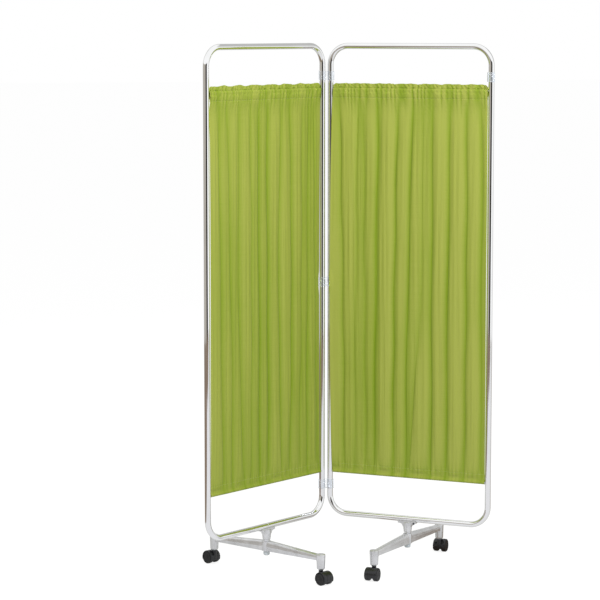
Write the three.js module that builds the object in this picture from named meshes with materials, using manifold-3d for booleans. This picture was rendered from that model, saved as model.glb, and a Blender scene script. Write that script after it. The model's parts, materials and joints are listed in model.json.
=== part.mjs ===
// A ward privacy screen on wheels: two chromed tube frames with gathered curtains, joined by three
// snap connectors. A fourth waits on the right frame's outer tube, for a further screen.
// Each frame stands on a two armed cast leg with a twin wheel caster under each end.
// Millimetres, +Z up. The screen stands half open, with its hinge side at the back (+Y).
import * as THREE from "three";
import { mergeVertices } from "three/addons/utils/BufferGeometryUtils.js";
import Module from "manifold-3d";

const wasm = await Module();
wasm.setup();

// Whole screen
const screenHeight = 1700;
const panelWidth = 546; // between the centrelines of a panel's two side tubes
const panelAngle = THREE.MathUtils.degToRad(35.75); // each panel, from the line through both hinge tubes
const hingeSpacing = 27.5; // between the centrelines of the two tubes that the connectors join
const fitClearance = 0.3; // between pieces that seat in or on each other
const cutOverrun = 2; // how far a cutting solid runs past the face that it cuts

// Frame tube
const tubeDiameter = 19.1;
const tubeWall = 1.2;
const bendRadius = 60; // of the centreline
const seamGap = 0.6; // butt seam over the saddle, where the bent tube closes on itself
const tubeSides = 14;
const bendSteps = 5;

// Curtain rods
const rodDiameter = 8;
const rodInsertion = 5; // how far a rod's end passes the face of the side tube
const rodInset = 140; // from the top and bottom tubes' centrelines to the rods' centrelines
const rodSides = 12;

// Curtains
const clothThickness = 1.6;
const ruffleRise = 14; // from the upper rod to the curtain's top edge
const topSeamDrop = 11; // from the upper rod
const topStitchDrop = 45; // from the upper rod
const hemStitchRise = 26; // from the lower rod
const hemPinchRise = 11; // from the lower rod to where the hem's two layers meet
const hemDrop = 9; // from the lower rod to the curtain's bottom edge
const sideGap = 1; // between the cloth's edge and the tube
const pocketWall = 1.9; // cloth round a rod, over the clearance
const foldDepth = 8.5; // of the deepest fold, either way from the panel's middle plane
const foldCount = 12;
const pointsPerFold = 4;
const foldVarietyShare = 0.2; // half of the difference between the shallowest and the deepest fold
const foldVarietyRate = 2.4; // radians from one fold to the next
const foldLeanShare = 0.12; // of a fold's width that its crest wanders sideways
const foldLeanRate = 1.7; // radians from one fold to the next
const rowLeanRate = 0.8; // radians from one row to the next
const bodyRowShares = [0.12, 0.37, 0.63, 0.88]; // rows of points between the two stitch lines
const bodyDepthShares = [0.8, 1, 1, 0.85]; // of the fold depth, at those rows
const stitchDepthShare = 0.5;
const gatherDepthShare = 0.11; // at the rods and the seam
const ruffleDepthShare = 0.3;
const hemDepthShare = 0.3;

// Snap connectors
const connectorHeight = 30;
const connectorWall = 3.1;
const connectorWeb = 12; // front to back, between the two jaws
const connectorSpreadShare = 0.4375; // of the frame's height, from the middle connector to the other two
const jawMouth = 15; // opening of each jaw, at the back
const lipRadius = 1.8;
const jawSides = 20;
const spareTurn = THREE.MathUtils.degToRad(-73); // of the spare one on the right outer tube, from its panel

// Saddle bracket under the bottom tube
const saddleLength = 62;
const saddleDepth = 19;
const saddleRise = 5.5; // from the lowest point of the tube to the top of the saddle's cheeks
const saddleEnd = 9.5; // height of the saddle at its two ends
const saddleSweep = 11; // height of the swept web between the ends and the neck
const neckTopDiameter = 29;
const neckBottomDiameter = 24;
const neckRise = 42.8; // from the neck's foot to the bottom tube's centreline
const saddleFillet = 4;
const filletSteps = 3;

// Saddle screws
const screwHeadDiameter = 7.4;
const screwHeadHeight = 2.6;
const screwShankDiameter = 3.6;
const screwShankLength = 6;
const screwInset = 7; // from the saddle's end
const screwDrop = 3.4; // below the groove for the tube
const screwSides = 8;

// Leg casting
const hubDiameter = 29;
const hubTop = 108;
const hubBottom = 75;
const spotfaceDiameter = 29; // flat round the pivot, cut into the arms' tops
const armLength = 221; // hub axis to socket axis
const armWidthAtHub = 24;
const armWidthAtSocket = 19;
const armBottom = 76;
const armTopAtHub = 110;
const armTopAtSocket = 95;
const armWall = 3.2;
const armRoof = 5;
const armShoulderShare = 0.6; // of the half width that the rounded shoulder takes
const armDraftShare = 0.45; // of the arm's height that the shoulder takes
const ribThickness = 3;
const pocketCount = 3;
const socketTopDiameter = 29.6;
const socketBottomDiameter = 26.5;
const socketTop = 97;
const socketBottom = 48;
const socketRound = 3.5;
const castSides = 20;
const crownSteps = 3; // facets of the arm's rounded shoulder

// Leg pivot
const washerThickness = 4.6; // bright ring between the neck and the hub
const washerDiameter = 22.5;
const postDiameter = 12;
const postRoof = 6; // of the saddle, between the post's end and the groove
const studDiameter = 8;
const studProud = 1.2; // past the nut
const lockWasherDiameter = 16.4;
const lockWasherThickness = 1.5;
const nutAcrossFlats = 13;
const nutHeight = 6.5;
const nutSides = 6;
const capDiameter = 20.5;
const capHeight = 14;
const capWall = 1.7;
const capRound = 4;
const pivotSides = 16;

// Stem sleeve
const sleeveDiameter = 13;
const sleeveLength = 24;
const flangeDiameter = 16.5;
const flangeThickness = 1.6;
const sleeveSides = 12;

// Casters
const wheelDiameter = 40;
const wheelWidth = 15;
const wheelGap = 13; // between the inner faces of the two wheels
const wheelRound = 1.4;
const wheelDish = 1; // depth of the recess in the outer face
const wheelLand = 4; // width of the rim round that recess
const webRunning = 0.5; // between the body's web and each wheel
const trail = 15; // stem axis to wheel axle
const hoodDiameter = 46;
const hoodWidth = 41;
const hoodRound = 2.5;
const hoodRunning = 0.75; // between the wheel's tread and the hood
const hoodLip = 12; // floor to the hood's lower edges
const bossDiameter = 14.5;
const stemDiameter = 8;
const stemReach = 20; // up into the sleeve
const stemRoot = 10; // down into the body
const axleDiameter = 5;
const axleReach = 11; // into each wheel
const wheelSides = 18;
const hoodSides = 24;
const stemSides = 12;

// How the legs and casters stand at rest
const legSwing = { left: THREE.MathUtils.degToRad(3), right: THREE.MathUtils.degToRad(8.65) };
const casterToe = THREE.MathUtils.degToRad(8);

// Derived sizes
const tubeRadius = tubeDiameter / 2;
const rodRadius = rodDiameter / 2;
const jawBore = tubeRadius + fitClearance;
const jawRadius = jawBore + connectorWall;
const grooveRadius = tubeRadius + fitClearance;
const washerBottom = hubTop + fitClearance;
const neckBottom = washerBottom + washerThickness + fitClearance;
const frameFoot = neckBottom + neckRise; // floor to the centreline of the bottom tube
const frameTop = screenHeight - tubeRadius;
const saddleTop = frameFoot - tubeRadius + saddleRise;
const saddleBottom = saddleTop - saddleEnd - saddleSweep;
const postTop = frameFoot - grooveRadius - postRoof;
const upperRodHeight = frameTop - rodInset;
const lowerRodHeight = frameFoot + rodInset;
const curtainTop = upperRodHeight + ruffleRise;
const topSeamHeight = upperRodHeight - topSeamDrop;
const topStitchHeight = upperRodHeight - topStitchDrop;
const hemStitchHeight = lowerRodHeight + hemStitchRise;
const curtainBottom = lowerRodHeight - hemDrop;
const connectorMiddle = (frameFoot + frameTop) / 2;
const connectorSpread = connectorSpreadShare * (frameTop - frameFoot);
const connectorTop = connectorMiddle + connectorSpread;
const postRadius = postDiameter / 2;
const postBottom = hubBottom - fitClearance;
const lockWasherBottom = postBottom - lockWasherThickness;
const nutBottom = lockWasherBottom - fitClearance - nutHeight;
const studBottom = nutBottom - studProud;
const flangeTop = socketBottom - fitClearance;
const sleeveTop = flangeTop + sleeveLength;
const bossTop = flangeTop - flangeThickness - fitClearance;
const wheelRadius = wheelDiameter / 2;
const hoodRadius = hoodDiameter / 2;
const axleRadius = axleDiameter / 2;
const stemRadius = stemDiameter / 2;

// Looks
const finish = (color, roughness, metalness) => ({ color, roughness, metalness });
const chrome = finish(0xd9dcde, 0.08, 1);
const castMetal = finish(0xc3c6c8, 0.42, 0.9);
const brightSteel = finish(0xcfd2d4, 0.22, 1);
const clearPlastic = finish(0xdde6f2, 0.15, 0);
const paleNylon = finish(0xdfe6ea, 0.4, 0);
const blackNylon = finish(0x1b1b1d, 0.45, 0);
const blackTread = finish(0x141415, 0.6, 0);
const limeCloth = finish(0x9cb040, 0.85, 0);

// Solids

// Outer radius of a hole with flat sides that still clears a round of the given radius.
const around = (radius, sides) => radius / Math.cos(Math.PI / sides);

function signedVolume(geometry) {
  const at = geometry.attributes.position;
  const index = geometry.index;
  const corner = [new THREE.Vector3(), new THREE.Vector3(), new THREE.Vector3()];
  let sum = 0;
  for (let i = 0; i < index.count; i += 3) {
    corner.forEach((point, k) => point.fromBufferAttribute(at, index.getX(i + k)));
    sum += corner[0].dot(corner[1].cross(corner[2]));
  }
  return sum;
}

// A closed geometry becomes a solid whose faces point out.
function solid(geometry) {
  const bare = geometry.clone();
  bare.deleteAttribute("normal");
  bare.deleteAttribute("uv");
  const merged = mergeVertices(bare);
  const triVerts = Uint32Array.from(merged.index.array);
  if (signedVolume(merged) < 0) triVerts.reverse();
  const vertProperties = Float32Array.from(merged.attributes.position.array);
  return new wasm.Manifold(new wasm.Mesh({ numProp: 3, vertProperties, triVerts }));
}

function geometryOf(piece) {
  const { vertProperties, triVerts } = piece.getMesh();
  const geometry = new THREE.BufferGeometry();
  geometry.setAttribute("position", new THREE.BufferAttribute(Float32Array.from(vertProperties), 3));
  geometry.setIndex(new THREE.BufferAttribute(Uint32Array.from(triVerts), 1));
  geometry.computeVertexNormals();
  return geometry;
}

const joined = (pieces) => pieces.reduce((whole, piece) => whole.add(piece));
const cut = (piece, cutters) => cutters.reduce((whole, cutter) => whole.subtract(cutter), piece);

// A round solid about Z, from points [radius, height] that start and end on the axis.
// It is turned so that a flat side faces along X and Y where the number of sides allows.
function revolved(points, sides) {
  const profile = points.map(([radius, height]) => new THREE.Vector2(radius, height));
  const geometry = new THREE.LatheGeometry(profile, sides, Math.PI / sides);
  return geometry.rotateX(Math.PI / 2);
}

const cylinder = (radius, bottom, top, sides) =>
  revolved([[0, bottom], [radius, bottom], [radius, top], [0, top]], sides);

// A flat outline in X and Z, given depth along Y about the middle plane.
function plate(shape, depth, curveSegments = bendSteps) {
  const geometry = new THREE.ExtrudeGeometry(shape, { depth, bevelEnabled: false, curveSegments });
  return geometry.translate(0, 0, -depth / 2).rotateX(Math.PI / 2);
}

function box(size, centre) {
  return new THREE.BoxGeometry(size.x, size.y, size.z).translate(centre.x, centre.y, centre.z);
}

// A skin over rings of points, closed by a fan at each end. The rings are convex and have equal counts.
function lofted(rings) {
  const count = rings[0].length;
  const points = rings.flat();
  const index = [];
  for (let r = 0; r + 1 < rings.length; r += 1) {
    for (let k = 0; k < count; k += 1) {
      const a = r * count + k;
      const b = r * count + ((k + 1) % count);
      index.push(a, b, b + count, a, b + count, a + count);
    }
  }
  const last = (rings.length - 1) * count;
  for (let k = 1; k + 1 < count; k += 1) {
    index.push(0, k + 1, k, last, last + k, last + k + 1);
  }
  return new THREE.BufferGeometry().setFromPoints(points).setIndex(index);
}

function mesh(name, piece, look) {
  const made = new THREE.Mesh(geometryOf(piece), new THREE.MeshStandardMaterial(look));
  made.name = name;
  return made;
}

// Frame

// The tube's centreline: a rounded rectangle in the panel's XZ plane, from the seam right round to the seam.
// Its points stand only where the tube starts, bends and ends, so that the long runs stay one facet each.
class FramePath extends THREE.Curve {
  constructor() {
    super();
    this.stations = [];
    const runX = panelWidth / 2 - bendRadius;
    const runZ = (frameTop - frameFoot) / 2 - bendRadius;
    const middle = new THREE.Vector3(panelWidth / 2, 0, (frameTop + frameFoot) / 2);
    this.addStation(middle, seamGap / 2, -runZ - bendRadius, 0);
    const corners = [[1, -1], [1, 1], [-1, 1], [-1, -1]];
    corners.forEach(([sideX, sideZ], corner) => {
      const centre = middle.clone().add(new THREE.Vector3(sideX * runX, 0, sideZ * runZ));
      for (let step = 0; step <= bendSteps; step += 1) {
        const turn = (corner + step / bendSteps) * (Math.PI / 2);
        this.addStation(centre, bendRadius * Math.sin(turn), -bendRadius * Math.cos(turn), turn);
      }
    });
    this.addStation(middle, -seamGap / 2, -runZ - bendRadius, 0);
  }

  addStation(centre, x, z, turn) {
    const point = centre.clone().add(new THREE.Vector3(x, 0, z));
    const tangent = new THREE.Vector3(Math.cos(turn), 0, Math.sin(turn));
    this.stations.push({ point, tangent });
  }

  get steps() {
    return this.stations.length - 1;
  }

  getPointAt(share) {
    return this.stations[Math.round(share * this.steps)].point.clone();
  }

  getTangentAt(share) {
    return this.stations[Math.round(share * this.steps)].tangent.clone();
  }
}

function ring(outerRadius, innerRadius, sides) {
  const circle = (radius) =>
    Array.from({ length: sides }, (_, k) => {
      const angle = ((k + 0.5) / sides) * 2 * Math.PI;
      return new THREE.Vector2(radius * Math.cos(angle), radius * Math.sin(angle));
    });
  const shape = new THREE.Shape(circle(outerRadius));
  shape.holes.push(new THREE.Path(circle(innerRadius)));
  return shape;
}

// A round along X from one place to another, at a height above the floor.
const alongX = (radius, from, to, height, sides) =>
  cylinder(radius, from, to, sides).rotateY(Math.PI / 2).translate(0, 0, height);

function frameTube() {
  const path = new FramePath();
  const section = ring(tubeRadius, tubeRadius - tubeWall, tubeSides);
  const sweep = { steps: path.steps, extrudePath: path, bevelEnabled: false };
  const tube = new THREE.ExtrudeGeometry(section, sweep);
  const holeRadius = around(rodRadius + fitClearance, rodSides);
  const holes = [lowerRodHeight, upperRodHeight].map((height) =>
    solid(alongX(holeRadius, 0, panelWidth, height, rodSides)),
  );
  return cut(solid(tube), holes);
}

function rod(height) {
  const end = tubeRadius - rodInsertion;
  return solid(alongX(rodRadius, end, panelWidth - end, height, rodSides));
}

// Curtain

// Heights up the cloth, with half its thickness there and how deep its folds are.
function curtainRows() {
  const thin = clothThickness / 2;
  const pocket = rodRadius + fitClearance + pocketWall;
  const body = bodyRowShares.map((share, k) => ({
    height: THREE.MathUtils.lerp(hemStitchHeight, topStitchHeight, share),
    half: thin,
    depth: foldDepth * bodyDepthShares[k],
  }));
  return [
    { height: curtainBottom, half: clothThickness, depth: foldDepth * hemDepthShare },
    { height: lowerRodHeight, half: pocket, depth: foldDepth * gatherDepthShare },
    { height: lowerRodHeight + hemPinchRise, half: clothThickness, depth: foldDepth * hemDepthShare },
    { height: hemStitchHeight, half: thin, depth: foldDepth * stitchDepthShare },
    ...body,
    { height: topStitchHeight, half: thin, depth: foldDepth * stitchDepthShare },
    { height: topSeamHeight, half: clothThickness, depth: foldDepth * gatherDepthShare },
    { height: upperRodHeight, half: pocket, depth: foldDepth * gatherDepthShare },
    { height: curtainTop, half: clothThickness, depth: foldDepth * ruffleDepthShare },
  ];
}

// How far the cloth stands from the panel's middle plane, as a share of the row's depth.
function foldShare(fold, row, phase) {
  const strength = 1 - foldVarietyShare * (1 - Math.sin(foldVarietyRate * Math.round(fold) + phase));
  const lean = foldLeanShare * Math.sin(foldLeanRate * fold + rowLeanRate * row + phase);
  return strength * Math.cos(2 * Math.PI * (fold + lean));
}

function curtain(phase) {
  const rows = curtainRows();
  const columns = foldCount * pointsPerFold;
  const faces = [1, -1].map((side) =>
    rows.map(({ height, half, depth }, r) => {
      const nearClip = Math.abs(height - connectorMiddle) < connectorSpread / 2;
      const from = nearClip ? jawRadius + lipRadius + sideGap : tubeRadius + sideGap;
      const to = panelWidth - tubeRadius - sideGap;
      return Array.from({ length: columns + 1 }, (_, c) => {
        const out = depth * foldShare(c / pointsPerFold, r, phase) + side * half;
        return new THREE.Vector3(THREE.MathUtils.lerp(from, to, c / columns), out, height);
      });
    }),
  );
  const points = faces.flat(2);
  const wide = columns + 1;
  const back = rows.length * wide;
  const index = [];
  const quad = (a, b, c, d) => index.push(a, b, c, a, c, d);
  for (let r = 0; r + 1 < rows.length; r += 1) {
    for (let c = 0; c < columns; c += 1) {
      const a = r * wide + c;
      quad(a, a + wide, a + wide + 1, a + 1);
      quad(back + a, back + a + 1, back + a + wide + 1, back + a + wide);
    }
    const near = r * wide;
    const far = near + columns;
    quad(near, back + near, back + near + wide, near + wide);
    quad(far, far + wide, back + far + wide, back + far);
  }
  const top = (rows.length - 1) * wide;
  for (let c = 0; c < columns; c += 1) {
    quad(c, c + 1, back + c + 1, back + c);
    quad(top + c, back + top + c, back + top + c + 1, top + c + 1);
  }
  const cloth = solid(new THREE.BufferGeometry().setFromPoints(points).setIndex(index));
  const boreRadius = around(rodRadius + fitClearance, rodSides);
  const bores = [lowerRodHeight, upperRodHeight].map((height) =>
    solid(alongX(boreRadius, 0, panelWidth, height, rodSides)),
  );
  return cut(cloth, bores);
}

// Saddle bracket

// Seen from the front: flat ends, then a web swept in to the neck.
function saddleOutline() {
  const half = saddleLength / 2;
  const neck = neckTopDiameter / 2;
  const shape = new THREE.Shape();
  shape.moveTo(-half, saddleTop);
  shape.lineTo(-half, saddleTop - saddleEnd);
  shape.quadraticCurveTo(-neck, saddleTop - saddleEnd, -neck, saddleBottom);
  shape.lineTo(neck, saddleBottom);
  shape.quadraticCurveTo(neck, saddleTop - saddleEnd, half, saddleTop - saddleEnd);
  shape.lineTo(half, saddleTop);
  return shape;
}

// Seen from above, the saddle's ends are rounded.
function saddlePlan() {
  const x = saddleLength / 2;
  const y = saddleDepth / 2;
  const shape = new THREE.Shape();
  shape.moveTo(-x + saddleFillet, -y);
  shape.lineTo(x - saddleFillet, -y);
  shape.quadraticCurveTo(x, -y, x, -y + saddleFillet);
  shape.lineTo(x, y - saddleFillet);
  shape.quadraticCurveTo(x, y, x - saddleFillet, y);
  shape.lineTo(-x + saddleFillet, y);
  shape.quadraticCurveTo(-x, y, -x, y - saddleFillet);
  shape.lineTo(-x, -y + saddleFillet);
  shape.quadraticCurveTo(-x, -y, -x + saddleFillet, -y);
  return shape;
}

// Where the screws stand on the saddle: on the front at the outer end, on the back at the inner end.
const screwPlaces = (front) => [
  { name: "front", side: front, x: saddleLength / 2 - screwInset },
  { name: "back", side: -front, x: screwInset - saddleLength / 2 },
];
const screwHeight = frameFoot - grooveRadius - screwDrop;

// A round along Y whose outer end is at the given distance on the given side.
const alongY = (radius, inner, outer, side, sides) =>
  cylinder(radius, inner, outer, sides).rotateX((-side * Math.PI) / 2);

function saddle(front) {
  const depth = saddleTop - saddleBottom;
  const upright = { depth, bevelEnabled: false, curveSegments: filletSteps };
  const plan = new THREE.ExtrudeGeometry(saddlePlan(), upright).translate(0, 0, saddleBottom);
  const block = solid(plan).intersect(solid(plate(saddleOutline(), saddleDepth + cutOverrun)));
  const topRadius = neckTopDiameter / 2;
  const collarTop = frameFoot - grooveRadius - fitClearance;
  const taper = [
    [0, neckBottom], [neckBottomDiameter / 2, neckBottom], [topRadius, saddleBottom],
    [topRadius, collarTop], [0, collarTop],
  ];
  const neck = solid(revolved(taper, castSides));
  const half = saddleLength / 2 + cutOverrun;
  const groove = solid(alongX(around(grooveRadius, tubeSides), -half, half, frameFoot, tubeSides));
  const boreRadius = around(postRadius + fitClearance, pivotSides);
  const bore = solid(
    cylinder(boreRadius, neckBottom - cutOverrun, postTop + fitClearance, pivotSides),
  );
  const shankRadius = around(screwShankDiameter / 2 + fitClearance, screwSides);
  const holeEnd = saddleDepth / 2 - screwShankLength - fitClearance;
  const holes = screwPlaces(front).map(({ side, x }) => {
    const hole = alongY(shankRadius, holeEnd, saddleDepth / 2 + cutOverrun, side, screwSides);
    return solid(hole.translate(x, 0, screwHeight));
  });
  return cut(joined([block, neck]), [groove, bore, ...holes]);
}

// A pan head screw that points into the saddle's side.
function saddleScrew(side) {
  const face = saddleDepth / 2 + fitClearance;
  const head = screwHeadDiameter / 2;
  const shank = screwShankDiameter / 2;
  const crown = screwHeadHeight / 2;
  const profile = [
    [0, face - screwShankLength], [shank, face - screwShankLength], [shank, face], [head, face],
    [head, face + crown], [shank, face + screwHeadHeight], [0, face + screwHeadHeight],
  ];
  return solid(revolved(profile, screwSides).rotateX((-side * Math.PI) / 2));
}

// Leg pivot

function post() {
  const stud = studDiameter / 2;
  const profile = [
    [0, studBottom], [stud, studBottom], [stud, postBottom],
    [postRadius, postBottom], [postRadius, postTop], [0, postTop],
  ];
  return solid(revolved(profile, pivotSides));
}

// A flat ring about Z whose hole clears a round of the given radius.
function washer(outerRadius, innerRadius, bottom, height, sides = pivotSides) {
  const hole = around(innerRadius + fitClearance, pivotSides);
  const bore = cylinder(hole, bottom - cutOverrun, bottom + height + cutOverrun, pivotSides);
  return solid(cylinder(outerRadius, bottom, bottom + height, sides)).subtract(solid(bore));
}

function postCap() {
  const outer = capDiameter / 2;
  const top = hubBottom - fitClearance;
  const bottom = top - capHeight;
  const shell = [[0, bottom], [outer - capRound, bottom]];
  for (let step = 1; step <= crownSteps; step += 1) {
    const turn = (step / crownSteps) * (Math.PI / 2);
    const out = outer - capRound + capRound * Math.sin(turn);
    shell.push([out, bottom + capRound - capRound * Math.cos(turn)]);
  }
  shell.push([outer, top], [0, top]);
  const hollow = cylinder(outer - capWall, bottom + capWall, top + cutOverrun, pivotSides);
  return solid(revolved(shell, pivotSides)).subtract(solid(hollow));
}

// Leg casting

// The arm's section at a share of its length, as a ring in Y and Z: upright sides with rounded shoulders.
function armRing(share, inset, roof, floor) {
  const half = THREE.MathUtils.lerp(armWidthAtHub, armWidthAtSocket, share) / 2 - inset;
  const top = THREE.MathUtils.lerp(armTopAtHub, armTopAtSocket, share) - roof;
  const across = half * armShoulderShare;
  const down = (top - armBottom) * armDraftShare;
  const x = armLength * share;
  const points = [new THREE.Vector3(x, -half, floor), new THREE.Vector3(x, half, floor)];
  for (const side of [1, -1]) {
    for (let step = 0; step <= crownSteps; step += 1) {
      const turn = ((side > 0 ? step : crownSteps - step) / crownSteps) * (Math.PI / 2);
      const y = side * (half - across + across * Math.cos(turn));
      points.push(new THREE.Vector3(x, y, top - down + down * Math.sin(turn)));
    }
  }
  return points;
}

const arm = () => solid(lofted([armRing(0, 0, 0, armBottom), armRing(1, 0, 0, armBottom)]));

// The open pockets under an arm, with a rib between each and the next.
function armPockets() {
  const start = hubDiameter / 2 + ribThickness;
  const end = armLength - socketTopDiameter / 2 - ribThickness;
  const pitch = (end - start) / pocketCount;
  return Array.from({ length: pocketCount }, (_, k) => {
    const from = start + k * pitch + ribThickness / 2;
    const to = start + (k + 1) * pitch - ribThickness / 2;
    const rings = [from, to].map((x) =>
      armRing(x / armLength, armWall, armRoof, armBottom - cutOverrun),
    );
    return solid(lofted(rings));
  });
}

function socket() {
  const bottom = socketBottomDiameter / 2;
  const top = socketTopDiameter / 2;
  const chamfer = socketRound / 2;
  const profile = [
    [0, socketBottom], [bottom - socketRound, socketBottom],
    [bottom - chamfer / 2, socketBottom + chamfer], [bottom, socketBottom + socketRound],
    [top, socketTop - socketRound], [top - chamfer, socketTop - chamfer / 2],
    [top - socketRound, socketTop], [0, socketTop],
  ];
  return solid(revolved(profile, castSides).translate(armLength, 0, 0));
}

function sleeveBore() {
  const radius = around(sleeveDiameter / 2 + fitClearance, sleeveSides);
  const geometry = cylinder(radius, socketBottom - cutOverrun, sleeveTop + fitClearance, sleeveSides);
  return solid(geometry.translate(armLength, 0, 0));
}

function legCasting() {
  const hub = solid(cylinder(hubDiameter / 2, hubBottom, hubTop, castSides));
  const half = cut(joined([arm(), socket()]), [...armPockets(), sleeveBore()]);
  const otherHalf = half.rotate([0, 0, 180]);
  const clearTop = armTopAtHub + cutOverrun;
  const overHub = solid(cylinder(spotfaceDiameter / 2, hubTop, clearTop, castSides));
  const postBore = solid(
    cylinder(around(postRadius + fitClearance, pivotSides), hubBottom - cutOverrun, clearTop, pivotSides),
  );
  return cut(joined([half, otherHalf, hub]), [overHub, postBore]);
}

function stemSleeve() {
  const sleeve = sleeveDiameter / 2;
  const flange = flangeDiameter / 2;
  const profile = [
    [0, flangeTop - flangeThickness], [flange, flangeTop - flangeThickness], [flange, flangeTop],
    [sleeve, flangeTop], [sleeve, sleeveTop], [0, sleeveTop],
  ];
  const boreRadius = around(stemRadius + fitClearance, stemSides);
  const bore = cylinder(boreRadius, bossTop, sleeveTop + cutOverrun, stemSides);
  return solid(revolved(profile, sleeveSides)).subtract(solid(bore));
}

// Casters stand with their stem axis on Z and their wheels trailing along +X.

// A round about the wheel axle between two places along Y.
const aboutAxle = (points, sides) =>
  revolved(points, sides).rotateX(-Math.PI / 2).translate(trail, 0, wheelRadius);

function casterBody() {
  const half = hoodWidth / 2;
  const rim = hoodRadius - hoodRound;
  const side = half - hoodRound;
  const outline = [
    [0, -half], [rim, -half], [hoodRadius, -side], [hoodRadius, side], [rim, half], [0, half],
  ];
  const hood = solid(aboutAxle(outline, hoodSides));
  const boss = solid(cylinder(bossDiameter / 2, wheelRadius, bossTop, stemSides));
  const wellRadius = around(around(wheelRadius, wheelSides) + hoodRunning, hoodSides);
  const webFace = wheelGap / 2 - webRunning;
  const wells = [1, -1].map((way) => {
    const from = way * webFace;
    const to = way * (half + cutOverrun);
    return solid(aboutAxle([[0, from], [wellRadius, from], [wellRadius, to], [0, to]], hoodSides));
  });
  const below = solid(
    box(
      new THREE.Vector3(hoodDiameter + cutOverrun, hoodWidth + cutOverrun, hoodLip * 2),
      new THREE.Vector3(trail, 0, 0),
    ),
  );
  const stemHoleRadius = around(stemRadius + fitClearance, stemSides);
  const stemHoleEnd = bossTop - stemRoot - fitClearance;
  const stemHole = solid(cylinder(stemHoleRadius, stemHoleEnd, bossTop + cutOverrun, stemSides));
  const axleHoleRadius = around(axleRadius + fitClearance, stemSides);
  const axleHoleOutline = [[0, -half], [axleHoleRadius, -half], [axleHoleRadius, half], [0, half]];
  const axleHole = solid(aboutAxle(axleHoleOutline, stemSides));
  return cut(joined([hood, boss]), [...wells, below, stemHole, axleHole]);
}

function casterStem() {
  return solid(cylinder(stemRadius, bossTop - stemRoot, flangeTop + stemReach, stemSides));
}

function casterAxle() {
  const end = wheelGap / 2 + axleReach;
  return solid(aboutAxle([[0, -end], [axleRadius, -end], [axleRadius, end], [0, end]], stemSides));
}

// A wheel on one side of the web: a rounded tread, a blind bore for the axle and a shallow dish outside.
function wheel(side) {
  const inner = wheelGap / 2;
  const outer = inner + wheelWidth;
  const tread = around(wheelRadius, wheelSides);
  const bore = around(axleRadius + fitClearance, wheelSides);
  const boreEnd = inner + axleReach + fitClearance;
  const land = tread - wheelLand;
  const profile = [
    [0, boreEnd], [bore, boreEnd], [bore, inner], [tread - wheelRound, inner], [tread, inner + wheelRound],
    [tread, outer - wheelRound], [tread - wheelRound, outer], [land, outer],
    [land - wheelDish, outer - wheelDish], [0, outer - wheelDish],
  ];
  return solid(aboutAxle(profile.map(([radius, along]) => [radius, side * along]), wheelSides));
}

// Connector: two jaws in one piece, each open at the back, with rolled lips at its mouth.
function connector() {
  const half = connectorHeight / 2;
  const centres = [-hingeSpacing / 2, hingeSpacing / 2];
  const mouthAngle = Math.asin(jawMouth / 2 / jawBore);
  const lipReach = (jawBore + jawRadius) / 2;
  const upright = (radius, x, y, overrun = 0, sides = jawSides) =>
    solid(cylinder(radius, -half - overrun, half + overrun, sides).translate(x, y, 0));
  const web = solid(box(new THREE.Vector3(hingeSpacing, connectorWeb, connectorHeight), new THREE.Vector3()));
  const jaws = centres.map((x) => upright(jawRadius, x, 0));
  const bores = centres.map((x) => upright(around(jawBore, jawSides), x, 0, cutOverrun));
  const mouthSize = new THREE.Vector3(jawMouth, jawRadius + cutOverrun, connectorHeight + cutOverrun);
  const mouths = centres.map((x) => solid(box(mouthSize, new THREE.Vector3(x, mouthSize.y / 2, 0))));
  const lipAcross = lipReach * Math.sin(mouthAngle) + lipRadius / 2;
  const lipBack = lipReach * Math.cos(mouthAngle);
  const lips = centres.flatMap((x) =>
    [-1, 1].map((side) => upright(lipRadius, x + side * lipAcross, lipBack, 0, stemSides)),
  );
  return cut(joined([cut(joined([...jaws, web]), [...bores, ...mouths]), ...lips]), bores);
}

// Assembly

function makeCaster(name) {
  const caster = new THREE.Group();
  caster.add(mesh(`${name}_caster_body`, casterBody(), blackNylon));
  caster.add(mesh(`${name}_caster_stem`, casterStem(), brightSteel));
  caster.add(mesh(`${name}_caster_axle`, casterAxle(), brightSteel));
  caster.add(mesh(`${name}_wheel_a`, wheel(1), blackTread));
  caster.add(mesh(`${name}_wheel_b`, wheel(-1), blackTread));
  return caster;
}

// The front arm points along the leg's +X, the back arm along its -X.
function makeLeg(name, toe) {
  const leg = new THREE.Group();
  leg.add(mesh(`${name}_leg`, legCasting(), castMetal));
  const ringWasher = washer(washerDiameter / 2, postRadius, washerBottom, washerThickness);
  leg.add(mesh(`${name}_leg_washer`, ringWasher, brightSteel));
  [["front", 1], ["back", -1]].forEach(([place, way]) => {
    const sleeve = mesh(`${name}_${place}_stem_sleeve`, stemSleeve(), paleNylon);
    const caster = makeCaster(`${name}_${place}`);
    for (const piece of [sleeve, caster]) {
      piece.position.x = way * armLength;
      leg.add(piece);
    }
    caster.rotation.z = toe + (way > 0 ? 0 : Math.PI);
  });
  return leg;
}

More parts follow.
